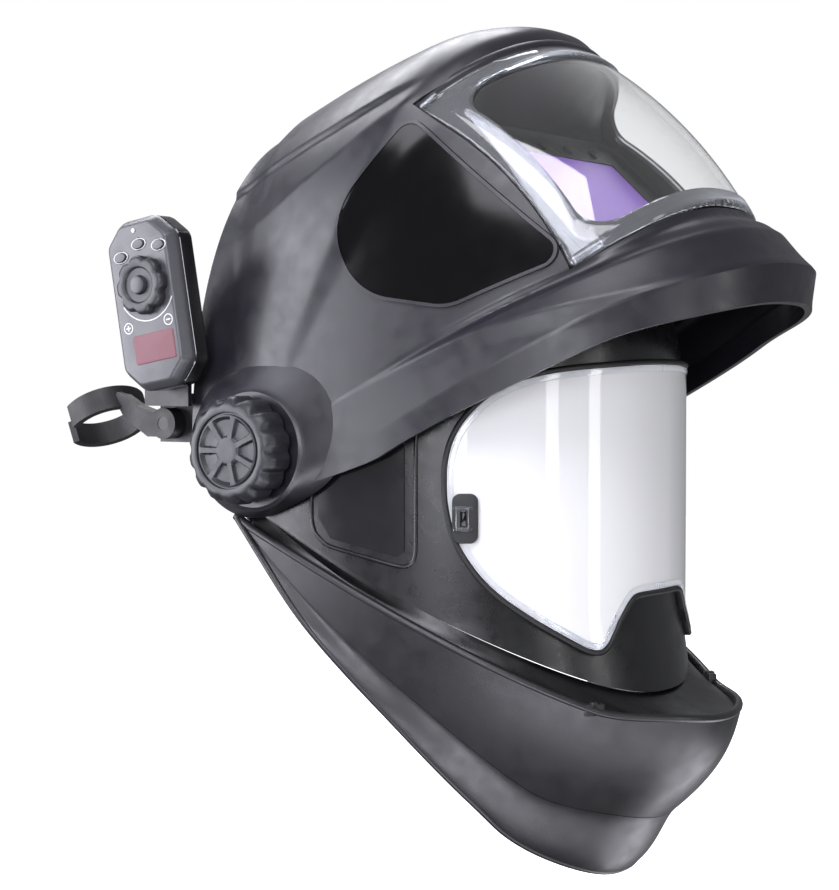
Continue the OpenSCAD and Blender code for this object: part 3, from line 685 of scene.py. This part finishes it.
def face_plan(q, z, inset):
    k = face_shrink(z)
    over = np.maximum(0, np.abs(q) - 90)
    e = np.minimum(90, np.abs(q)) * np.sign(q)
    x = (FACE_W - inset) * k * face_narrow(z) * spow(sind(e), 2 / FACE_N)
    fwd = (FACE_FRONT + 0.16 * np.maximum(0, -72 - z) - inset) * k * power(cosd(e), 2 / FACE_N)
    return np.stack([x, np.where(over > 0, over * 26 / 30, -fwd), z + 0 * x], -1)


def face_surface(q, t, inset):
    g = -face_plan(q, 0 * q, 0)[..., 1]
    low = -31 - 0.52 * (g - 4) - 6 * power(g / 148, 8)
    high = 44 + 0.56 * np.maximum(0, g)
    return face_plan(q, mix(low, high, t), inset)


def face_grid(inset, nq, nt, t0=0, t1=1, q0=120):
    t, q = np.meshgrid(np.linspace(t0, t1, nt), np.linspace(-q0, q0, nq), indexing="ij")
    return face_surface(q, t, inset)


HALF = [(0, 37), (16, 36.8), (31, 36), (43, 35.2), (54, 34), (62, 32.3), (69, 29.5), (74, 25.5),
        (78, 20), (81, 13),
        (83, 5), (84, -4), (84.2, -13), (84, -22), (83, -33), (81, -43), (77.5, -53), (73, -61),
        (67, -68),
        (60, -74.5), (53, -80), (47, -84), (42, -85), (38, -82.5), (34, -77), (29.5, -71),
        (25, -65.5), (20, -62.5),
        (10, -62), (0, -62)]
coarse = np.array(HALF + [(-x, z) for x, z in HALF[-2:0:-1]], float)


def smooth_loop(loop, per=5):
    out = []
    n = len(loop)
    for i in range(n):
        p0, p1, p2, p3 = loop[i - 1], loop[i], loop[(i + 1) % n], loop[(i + 2) % n]
        for t in np.arange(per) / per:
            out.append(0.5 * (2 * p1 + (p2 - p0) * t + (2 * p0 - 5 * p1 + 4 * p2 - p3) * t * t
                              + (3 * p1 - p0 - 3 * p2 + p3) * t ** 3))
    return np.array(out)


visor_loop = smooth_loop(coarse)


def face_at(x, z):
    q = asind((np.abs(x) / (FACE_W * face_shrink(z) * face_narrow(z))) ** (FACE_N / 2)) * np.sign(x)
    return face_plan(q, z, 0)


def face_normal(p):
    n = np.stack([np.sign(p[:, 0]) * (np.abs(p[:, 0]) / FACE_W) ** (FACE_N - 1) / FACE_W,
                  -(np.abs(p[:, 1]) / FACE_FRONT) ** (FACE_N - 1) / FACE_FRONT, 0 * p[:, 0]], -1)
    return n / np.linalg.norm(n, axis=1)[:, None]


def loop_frame(loop):
    p = face_at(loop[:, 0], loop[:, 1])
    n = face_normal(p)
    d = np.roll(p, -1, 0) - np.roll(p, 1, 0)
    g = np.cross(n, d)
    return p, n, g / np.linalg.norm(g, axis=1)[:, None]


LP, LN, LG = loop_frame(visor_loop)


def loop_ring(rows, name, mat, smooth=40):
    """Ring round the shield opening; rows are (outwards across the face, above the face)."""
    rings = [LP + LN * h + LG * g for g, h in rows]
    return link(name, *tube(rings, closed=True), mat, smooth)


def visor_cut(grow):
    rings = [LP + LN * -7 + LG * grow, LP + LN * 9 + LG * grow]
    m = len(visor_loop)
    verts = np.concatenate(rings + [np.array([[0, -120, -20], [0, -215, -20]], float)])
    faces = []
    for i in range(m):
        j = (i + 1) % m
        faces += [(i, j, m + j, m + i), (2 * m, j, i), (2 * m + 1, m + i, m + j)]
    return link("cutter", *outward(verts, faces), M["dark_shell"])


face = link("face_shell_form", *wall(face_grid(0, 260, 110), face_grid(2.5, 260, 110)),
            M["dark_shell"])
cut(face, visor_cut(-1.8))
for sx in (-1, 1):
    rings = [np.concatenate([np.full((48, 1), x), circle(9.3, 48)], 1) for x in (sx * 80, sx * 115)]
    cut(face, link("cutter", *tube(rings), M["dark_shell"]))
place(face, "face_shield", "dark_shell", "face_shell")

shield = link("clear_shield",
              *wall(face_grid(-2.2, 200, 90, 0, 1, 80), face_grid(-0.4, 200, 90, 0, 1, 80)),
              M["shield_sheet"])
cut(shield, visor_cut(-0.1), "INTERSECT")
place(shield, "face_shield", "clear_sheet", "grinding_visor")
seal = loop_ring([(0.1, 0.2), (0.1, 2.6), (0.5, 3.2), (1.2, 3.4), (1.9, 3.2), (2.4, 2.6),
                  (2.4, 0.2)],
                 "shield_seal", M["rubber_black"])
place(seal, "face_shield", "rubber_black", "visor_seal")
for g0, g1, h0, h1, tag in ((-3.0, -0.3, 2.2, 3.1, "inner"),):
    bead = loop_ring([(g0, h0), (g0 + 0.3, h1 - 0.2), (mix(g0, g1, 0.5), h1), (g1 - 0.3, h1 - 0.2),
                      (g1, h0)],
                     "shield_rim_" + tag, M["clear_rim"])
    place(bead, "face_shield", "clear_lugs")


def panel_prism(x0, x1, loop):
    rings = [np.concatenate([np.full((len(loop), 1), x), loop], 1) for x in (x0, x1)]
    return link("prism", *tube(rings), M["panel_grey"])


POCKET = np.array([(-28, -6), (-28, -29), (-34, -38), (-65, -45), (-67.5, -43), (-67.5, 6)], float)
for sx, tag in ((-1, "right"), (1, "left")):
    lo, hi = (-120, -60) if sx < 0 else (60, 120)
    panel = link("pocket_" + tag, *wall(face_grid(-0.9, 200, 80), face_grid(-0.1, 200, 80)),
                 M["panel_grey"])
    cut(panel, panel_prism(lo, hi, POCKET), "INTERSECT")
    place(panel, "face_shield", "panel_grey", *(["side_panels"] if sx < 0 else []))

def face_side(y, z, inset, sx):
    """Point on the side of the face shell at a place in the side view."""
    k = face_shrink(z)
    q = np.degrees(np.arccos(np.clip(np.maximum(-y, 0) / (FACE_FRONT * k), 0, 1) ** (FACE_N / 2)))
    p = face_plan(sx * q, z, inset)
    return np.where((y > 0)[..., None], np.stack([p[..., 0], y, z], -1), p)


def bead(name, mat, centre, radius, steps=12, closed=False):
    """Round bead along a line of points."""
    along = np.gradient(centre, axis=0)
    along /= np.linalg.norm(along, axis=1)[:, None]
    a = np.cross(along, [0.31, 0.2, 0.93])
    a /= np.linalg.norm(a, axis=1)[:, None]
    b = np.cross(along, a)
    q = np.arange(steps) * 360 / steps
    rings = [c + radius * (np.outer(cosd(q), u) + np.outer(sind(q), w)) for c, u,
             w in zip(centre, a, b)]
    return link(name, *tube(rings, closed=closed), mat)


def along_line(points, step=1.0):
    p = np.asarray(points, float)
    d = np.r_[0, np.cumsum(np.linalg.norm(np.diff(p, axis=0), axis=1))]
    t = np.linspace(0, d[-1], int(d[-1] / step))
    return np.stack([np.interp(t, d, p[:, k]) for k in range(p.shape[1])], -1)


for sx, tag in ((-1, "right"), (1, "left")):
    edge = along_line([(-24, 4), (-24, -31), (-25.5, -36), (-31, -41), (-66, -49.5), (-70.5, -48.5),
                       (-72, -44), (-72, 8)])
    for _ in range(6):
        edge[1:-1] = (edge[:-2] + edge[1:-1] + edge[2:]) / 3
    rim = bead("pocket_rim_" + tag, M["dark_shell"], face_side(edge[:, 0], edge[:, 1], -0.1, sx),
               0.9)
    place(rim, "face_shield", "dark_shell")
    # latch of the clear shield: black tab, clear hinge block with rungs
    a = np.array([0.438 * -sx, -0.899, 0])
    n = np.array([0.899 * sx, -0.438, 0])
    origin = np.array([82.3 * sx, -88.8, -28]) + a * 3.0

    def latch(name, mat, loop, rows, shift=(0, 0)):
        rings = []
        for shrink, h in rows:
            p = grown(loop, -shrink) + shift
            rings.append(origin + np.outer(p[:, 0], [0, 0, 1]) + np.outer(p[:, 1], a) + n * h)
        return place(link(name + "_" + tag, *tube(rings), mat), "face_shield",
                     "clear_lugs" if mat == M["clear_rim"] else "black_plastic")

    tab = latch("latch_tab", M["rubber_black"], round_rect(21, 11, 3.4, 8),
                [(0.3, 3.0), (0, 3.4), (0, 4.7), (0.3, 5.2), (0.9, 5.4)], (0, 0.5))
    if sx < 0:
        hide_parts("visor_latches")
    latch("latch_block", M["clear_rim"], round_rect(11, 5.6, 0.8, 4),
          [(0, 5.2), (0, 5.7), (0.4, 6.0)], (0, -0.5))
    for k in (-4.6, 4.6):
        latch("latch_rung_%d" % (k > 0), M["clear_rim"], round_rect(1.5, 8.4, 0.6, 4),
              [(0, 5.2), (0, 6.2), (0.3, 6.5)], (k, -0.2))
    latch("latch_key", M["gloss_black"], round_rect(6.6, 2.9, 0.5, 4),
          [(0, 5.3), (0, 6.2), (0.3, 6.4)], (0, -0.1))

# ---- chin duct, tray and bib -----------------------------------------------

CHIN_W, CHIN_R, CHIN_N, SPLIT = 104.0, 213.0, 2.1, 0.3


def rim_angle(rho):
    return -26.6 - asind(np.minimum(1, 35 / np.maximum(rho, 1e-6))) + 2.5 * ramp(rho, 180, 213)


def bib_angle(rho):
    return (-51.5 - asind(np.minimum(1, 30 / np.maximum(rho, 1e-6))) + 3 * ramp(rho, 180, 213)
            + 1.5 * (ramp(rho, 60, 130) - ramp(rho, 170, 213)))


def chin_surface(t, v, inset):
    e = v * (90 - asind((34 / CHIN_R) ** (CHIN_N / 2)))
    ratio = power(cosd(e), 2 / CHIN_N)
    s = (t - SPLIT) / (1 - SPLIT)
    r = np.where(t > SPLIT, mix(218, 211, s) + 3 * sind(180 * s), mix(227, 218, ramp(t, 0, SPLIT)))
    flare = 5 * (1 - ramp(t, 0, SPLIT))
    rho = mix(CHIN_R, r, ramp(ratio, 0.6, 1)) * ratio
    a = (mix(bib_angle(CHIN_R * ratio), rim_angle(CHIN_R * ratio), t) + 2 * ramp(ratio, 0.8,
                                                                                 1) * sind(180 * t))
    k = rho - inset * ramp(ratio, 0, 0.3)
    side = CHIN_W - inset + flare * ramp(ratio, 0.1, 0.4)
    return np.stack([side * spow(sind(e), 2 / CHIN_N), -k * cosd(a), k * sind(a)], -1)


def chin_grid(inset, nt, nv, t0, t1):
    t, v = np.meshgrid(np.linspace(t0, t1, nt), np.linspace(-1, 1, nv), indexing="ij")
    return chin_surface(t, v, inset)


duct = link("chin_duct_form",
            *wall(chin_grid(0, 60, 260, SPLIT, 1), chin_grid(3, 60, 260, SPLIT, 1)), M["duct_grey"])
place(duct, "face_shield", "duct_grey", "chin_duct")
bib = link("chin_bib_form",
           *wall(chin_grid(0, 40, 260, 0, SPLIT - 0.004),
                 chin_grid(2.2, 40, 260, 0, SPLIT - 0.004)),
           M["duct_grey"])
place(bib, "face_shield", "duct_grey", "chin_bib")


def tray_grid(depth, ns=24, nv=160):
    s, v = np.meshgrid(np.linspace(0, 1, ns), np.linspace(-1, 1, nv), indexing="ij")
    outer = chin_surface(np.ones_like(v), 0.985 * v, 3.1) - [0, 0, 1.6]
    inner = face_surface(112 * v, np.zeros_like(v), 2.8) - [0, 0, 0.3]
    p = mix(inner, outer, s[..., None])
    p[..., 2] -= depth + 2 * sind(180 * s)
    return p


tray = link("chin_tray_form", *wall(tray_grid(0), tray_grid(2.4)), M["dark_shell"])
place(tray, "face_shield", "dark_shell", "chin_tray")
line = np.linspace(-1, 1, 260)
lip_line = chin_surface(np.ones(260), line, 1.5)
place(bead("chin_rim_bead", M["duct_grey"], lip_line, 1.9), "face_shield", "duct_grey")
hem_line = chin_surface(np.zeros(260), line, 1.0)
place(bead("chin_bib_hem", M["duct_grey"], hem_line, 1.5), "face_shield", "duct_grey")
for sx, tag in ((-1, "right"), (1, "left")):
    spot = chin_surface(np.array(1.0), np.array(0.40 * sx), 2.4)
    u, w = np.array([0.743 * -sx, -0.669, 0]), np.array([0.669 * sx, -0.743, 0])
    for k, (half, high) in enumerate(((4.6, 2.6), (1.7, 3.4))):
        loop = round_rect(2 * half, 4.2, 1.0, 5)
        rings = [spot + np.outer(grown(loop, -c)[:, 0], u) + np.outer(grown(loop, -c)[:, 1],
                                                                      w) + [0, 0, z]
                 for c, z in ((0, -2.5), (0, high - 0.6), (0.25, high - 0.2), (0.7, high))]
        block = link("chin_catch_%s_%d" % (tag, k), *tube(rings), M["rubber_black"])
        place(block, "face_shield", "black_plastic",
              *(["chin_latches"] if (sx, k) == (-1, 0) else []))

# ---- tension knobs ---------------------------------------------------------


def knob_form(name, sx):
    steps = 560
    q = np.arange(steps) * 360 / steps
    wave = np.clip(cosd(14 * q) * 0.5 + 0.5, 0, 1) ** 2.2
    rows = [(12, 0.3, 0), (21.2, 0.2, 0.2), (22.6, 0.8, 0.6), (23.5, 2.0, 1), (23.5, 11.0, 1),
            (23.1, 12.6, 1),
            (21.9, 14.2, 0.8), (20.4, 15.4, 0.3), (19.2, 15.9, 0), (17.2, 16.0, 0), (16.6, 15.8, 0),
            (16.3, 14.9, 0),
            (15.7, 14.9, 0), (15.4, 15.7, 0), (14.8, 15.9, 0)]
    rings = []
    for r, z, f in rows:
        radius = r - 1.9 * f * wave
        rings.append(np.stack([radius * cosd(q), radius * sind(q), q * 0 + z], -1))
    # dish with seven raised spokes and a centre disc
    spoke = np.clip(cosd(7 * q) * 0.5 + 0.5, 0, 1) ** 0.8
    for r, deep in ((14.2, 0.5), (13.4, 1.0), (11, 1.0), (8, 1.0), (6.6, 0.8), (6.0, 0.2)):
        half = np.degrees(1.15 / r)
        near = np.abs((q + 180 / 7) % (360 / 7) - 180 / 7)
        lift = 1 - ramp(near, half, half + 3.2)
        rings.append(np.stack([r * cosd(q), r * sind(q), 15.9 - 1.5 * deep * (1 - lift)], -1))
    for r, z in ((5.4, 15.9), (4.9, 16.0), (2.5, 16.0), (0.6, 16.0)):
        rings.append(np.stack([r * cosd(q), r * sind(q), q * 0 + z], -1))
    rings = [np.stack([sx * (111 + p[:, 2]), p[:, 0], p[:, 1]], -1) for p in rings]
    return link(name, *tube(rings), M["knob_plastic"], 38)


place(knob_form("tension_knob_right", -1), "knob_right", "knob_plastic", "pivot_knob_right")
place(knob_form("tension_knob_left", 1), "knob_left", "knob_plastic", "pivot_knob_left")

# pivot bosses: teardrop lobes that swell out of the visor around the knobs
def lobe_row(t, steps=120):
    """Outline from the teardrop (t = 0) to the seat of the knob (t = 1)."""
    q = (np.arange(steps) * 360 / steps)[:, None]
    ray = np.concatenate([cosd(q), sind(q)], 1)
    edge = np.array([5, 3]) + (33.4 + 21 * np.maximum(0, cosd(q - 158)) ** 2.2) * ray
    return mix(edge, 27.0 * ray, t)


for sx, tag in ((-1, "right"), (1, "left")):
    rings = [np.concatenate([np.full((120, 1), sx * 101.6), lobe_row(0)], 1)]
    for t in np.linspace(0, 1, 14):
        x = 102.2 + 6.6 * t ** 0.85
        rings.append(np.concatenate([np.full((120, 1), sx * x), lobe_row(t)], 1))
    for r, x in [(25.8, 109.3), (25.2, 109.7), (9.2, 109.7), (9.1, 101.6)]:
        rings.append(np.concatenate([np.full((120, 1), sx * x), circle(r, 120)], 1))
    boss = link("pivot_boss_" + tag, *tube(rings, closed=True), M["satin_shell"], 30)
    place(boss, "visor", "satin_shell", *(["visor_bosses"] if sx < 0 else []))

# ---- controller ------------------------------------------------------------

CTL = (-108.5, 46.5, 64.0)


def on_controller(p):
    """Local frame: x up, y to the rear, z outward."""
    p = np.asarray(p, float)
    q = np.stack([-p[..., 2], p[..., 1], p[..., 0]], -1)
    c, s = cosd(-10), sind(-10)
    return np.stack([q[..., 0], q[..., 1] * c - q[..., 2] * s, q[..., 1] * s + q[..., 2] * c],
                    -1) + CTL


def controller_piece(name, mat, rings, smooth=35):
    return link(name, *tube([on_controller(r) for r in rings]), mat, smooth)


case = []
for cx, cy in ((38, -9.5), (38, 9.5), (28.5, 19), (-28.5, 19), (-38, 9.5), (-38, -9.5),
               (-28.5, -19), (28.5, -19)):
    case.append((cx, cy))
case = smooth_corners(np.array(case, float), 3.0)
back = controller_piece("controller_case", M["controller_black"],
                        turned([(3, 0), (1.2, 0.3), (0.3, 1.2), (0, 2.6), (0, 9.6), (0.5, 9.95)],
                               case))
place(back, "face_shield", "gloss_black", "controller_back")
front = controller_piece("controller_face", M["controller_grey"],
                         turned([(0.6, 10.0), (0.1, 10.5), (0.0, 12.2), (0.5, 13.4), (2.2, 16.2),
                                 (2.9, 16.8),
                                 (3.8, 17.0)], case))
for px, py, r in ((7.5, -2, 6.1), (22, 9.5, 2.85), (26, -1.5, 2.85), (23.5, -12.5, 2.85)):
    cut(front, link("cutter", *tube([on_controller(k) for k in
                                     [x + [px, py, 0] for x in lathe([(r, 13.5), (r, 30)], 48)]]),
                                     M["controller_grey"]))
place(front, "face_shield", "controller_grey", "controller_front")


def dial_rings():
    steps = 256
    q = np.arange(steps) * 360 / steps
    wave = np.clip(cosd(8 * (q - 22.5)) * 0.5 + 0.5, 0, 1) ** 3
    rows = [(5.9, 11, 0), (5.9, 17.1, 0), (12.2, 17.2, 0.7), (12.9, 17.8, 1), (13.0, 20.4, 1),
            (12.6, 21.4, 1),
            (11.7, 22.0, 0.7), (10.6, 22.2, 0.2), (8.4, 22.2, 0), (7.8, 21.9, 0), (7.4, 21.2, 0),
            (5.0, 21.1, 0),
            (4.3, 21.1, 0), (4.1, 20.8, 0), (4.1, 11.2, 0)]
    return [np.stack([(r - 1.5 * f * wave) * cosd(q) + 7.5, (r - 1.5 * f * wave) * sind(q) - 2,
                      q * 0 + z], -1)
            for r, z, f in rows]


dial = link("settings_dial", *tube([on_controller(r) for r in dial_rings()], closed=True),
            M["knob_plastic"], 38)
place(dial, "dial", "knob_plastic", "control_dial")
press = controller_piece("settings_dial_button", M["button_grey"],
                         [r + [7.5, -2, 0] for r in lathe([(3.7, 14.6), (3.95, 14.9), (3.95, 22.4),
                                                           (3.7, 23.1),
                                                           (3.0, 23.4), (0.5, 23.45)], 64)])
place(press, "dial_button", "button_grey", "dial_button")
for (px, py), name in zip(((22, 9.5), (26, -1.5), (23.5, -12.5)), ("left", "middle", "right")):
    oval = circle(1, 48) * [2.0, 3.3]
    loop = [np.concatenate([oval * k + [px, py], np.full((48, 1), z)], 1)
            for k, z in ((0.75, 14.2), (0.75, 16.9), (1.0, 17.1), (1.0, 17.7), (0.9, 18.2),
                         (0.6, 18.3), (0.1, 18.35))]
    key = controller_piece(name + "_key", M["button_grey"], loop)
    place(key, name + "_button", "button_grey", name + "_button")
    well = [np.concatenate([oval * k + [px, py], np.full((48, 1), z)], 1)
            for k, z in ((1.25, 16.8), (1.25, 17.35), (1.12, 17.35), (1.12, 16.8))]
    ring = link(name + "_key_ring", *tube([on_controller(w) for w in well], closed=True),
                M["mark_white"])
    place(ring, "face_shield", "lamp_white")

screen = controller_piece("display_pane", M["display_window"],
                          [r + [-20, -2.5, 0] for r in turned([(0, 16), (0, 17.05), (0.3, 17.2),
                                                               (0.8, 17.25)],
                                                              round_rect(13, 23, 1.2, 6))])
place(screen, "face_shield", "display_window", "controller_display")


def strip(name, mat, points, width, z0, z1, body="face_shield"):
    """Flat printed mark: a line of given width on the controller face."""
    p = np.asarray(points, float)
    t = np.gradient(p, axis=0)
    t /= np.linalg.norm(t, axis=1)[:, None]
    n = np.stack([-t[:, 1], t[:, 0]], -1) * width / 2
    rings = [np.array([[*(a + b), z0], [*(a - b), z0], [*(a - b), z1], [*(a + b), z1]]) for a,
             b in zip(p, n)]
    return place(link(name, *tube([on_controller(r) for r in rings]), mat), body, "lamp_white")


q = np.linspace(118, 242, 40)
strip("dial_scale", M["mark_white"], np.stack([7.5 + 15.6 * cosd(q), -2 + 15.6 * sind(q)], -1), 0.5,
      16.95, 17.12)
strip("minus_mark", M["mark_white"], [(-9.5, -13.2), (-9.5, -12), (-9.5, -10.8)], 0.55, 16.95,
      17.12)
strip("plus_mark_a", M["mark_white"], [(-9.5, 9.6), (-9.5, 10.8), (-9.5, 12)], 0.55, 16.95, 17.12)
strip("plus_mark_b", M["mark_white"], [(-10.7, 10.8), (-9.5, 10.8), (-8.3, 10.8)], 0.55, 16.95,
      17.14)
for name, cy in (("minus_ring", -12), ("plus_ring", 10.8)):
    q = np.linspace(0, 360, 49)
    strip(name, M["mark_white"], np.stack([-9.5 + 2.3 * cosd(q), cy + 2.3 * sind(q)], -1), 0.4,
          16.95, 17.1)

# ---- soft pieces -----------------------------------------------------------


def cushion(name, mat, rings, body, slot, fill, *stands_for):
    obj = link(name, *tube(rings), mat)
    m = obj.modifiers.new("smooth", "SUBSURF")
    m.levels = m.render_levels = 1
    applied(obj)
    finish_mesh(obj, 60)
    place(obj, body, slot, *stands_for)
    return obj


def oval_ring(c, out, up, half_w, half_h, n=24):
    q = np.arange(n) * 360 / n
    return np.stack([c + out * half_w * spow(cosd(k), 0.8) + up * half_h * spow(sind(k),
                                                                                0.8) for k in q])


qs = np.linspace(-84, 84, 120)
base = face_surface(qs, np.full(len(qs), 0.16), 9)
rings = []
for i, c in enumerate(base):
    d = np.array([c[0], c[1], 0])
    d /= np.linalg.norm(d)
    swell = 1 + 0.07 * math.cos(i * 2 * math.pi / 8.0)
    end = min(1, (min(i, len(base) - 1 - i) + 1) / 5) ** 0.5
    rings.append(oval_ring(c, d, np.array([0, 0, 1.0]), 4.9 * swell * end, 8.9 * end))
cushion("face_seal_cushion", M["seal_foam"], rings, "face_shield", "seal_foam", 0.5, "face_seal")


def band_pad(name, half_w, half_l, y0, z_mid, height, thick, q0, q1, count, wave, node):
    rings = []
    for i, k in enumerate(np.linspace(q0, q1, count)):
        edge = min(i, count - 1 - i)
        end = min(1, (edge + 1) / 6) ** 0.5
        seam = 1 - 0.3 * max(0.0, math.cos(i * 2 * math.pi / wave)) ** 8
        c = np.array([(half_w - thick / 2) * math.sin(math.radians(k)),
                      y0 - (half_l - thick / 2) * math.cos(math.radians(k)), z_mid])
        d = np.array([math.sin(math.radians(k)) / half_w, -math.cos(math.radians(k)) / half_l, 0])
        d /= np.linalg.norm(d)
        rings.append(oval_ring(c, d, np.array([0, 0, 1.0]), thick / 2 * seam * end * 0.98,
                               height / 2 * end * 0.98))
    return cushion(name, M["foam"], rings, "headgear", "foam", 0.4, node)


band_pad("sweatband_pad", 77.4, 95.4, -8, 43, 28, 5, -52, 52, 110, 18, "sweatband")
band_pad("nape_cushion", 77.4, 95.4, -8, 43, 34, 6, 180 - 31, 180 + 31, 80, 20, "nape_pad")

# ---- finishes of the CAD nodes that stay -----------------------------------

FINISH = {
    "headband": "strap_plastic", "crown_strap": "strap_plastic", "rear_strap": "strap_plastic",
    "ratchet_housing": "strap_plastic", "pivot_arms": "strap_plastic", "pivot_studs": "steel",
    "friction_washers": "steel", "air_coupling": "black_plastic", "crown_duct": "black_plastic",
    "air_diffuser": "black_plastic", "ratchet_knob": "knob_plastic", "ratchet_pinion": "nylon",
    "pivot_hubs": "dark_shell",
    "controller_bracket": "black_plastic", "controller_lamp": "lamp_white",
    "battery_door": "controller_black",
    "hose_clip": "rubber_black", "clip_pin": "black_plastic", "lens_clips": "clear_rim",
    "filter_frame": "black_plastic", "filter_glass": "purple_filter",
    "inner_cover_lens": "clear_sheet",
    "light_sensors": "gloss_black",
}
for node, finish in FINISH.items():
    obj = nodes[node]
    for slot_ in obj.material_slots:
        slot_.material = M[finish]
    obj.data.shade_smooth()
    obj.data.set_sharp_from_angle(angle=math.radians(32))
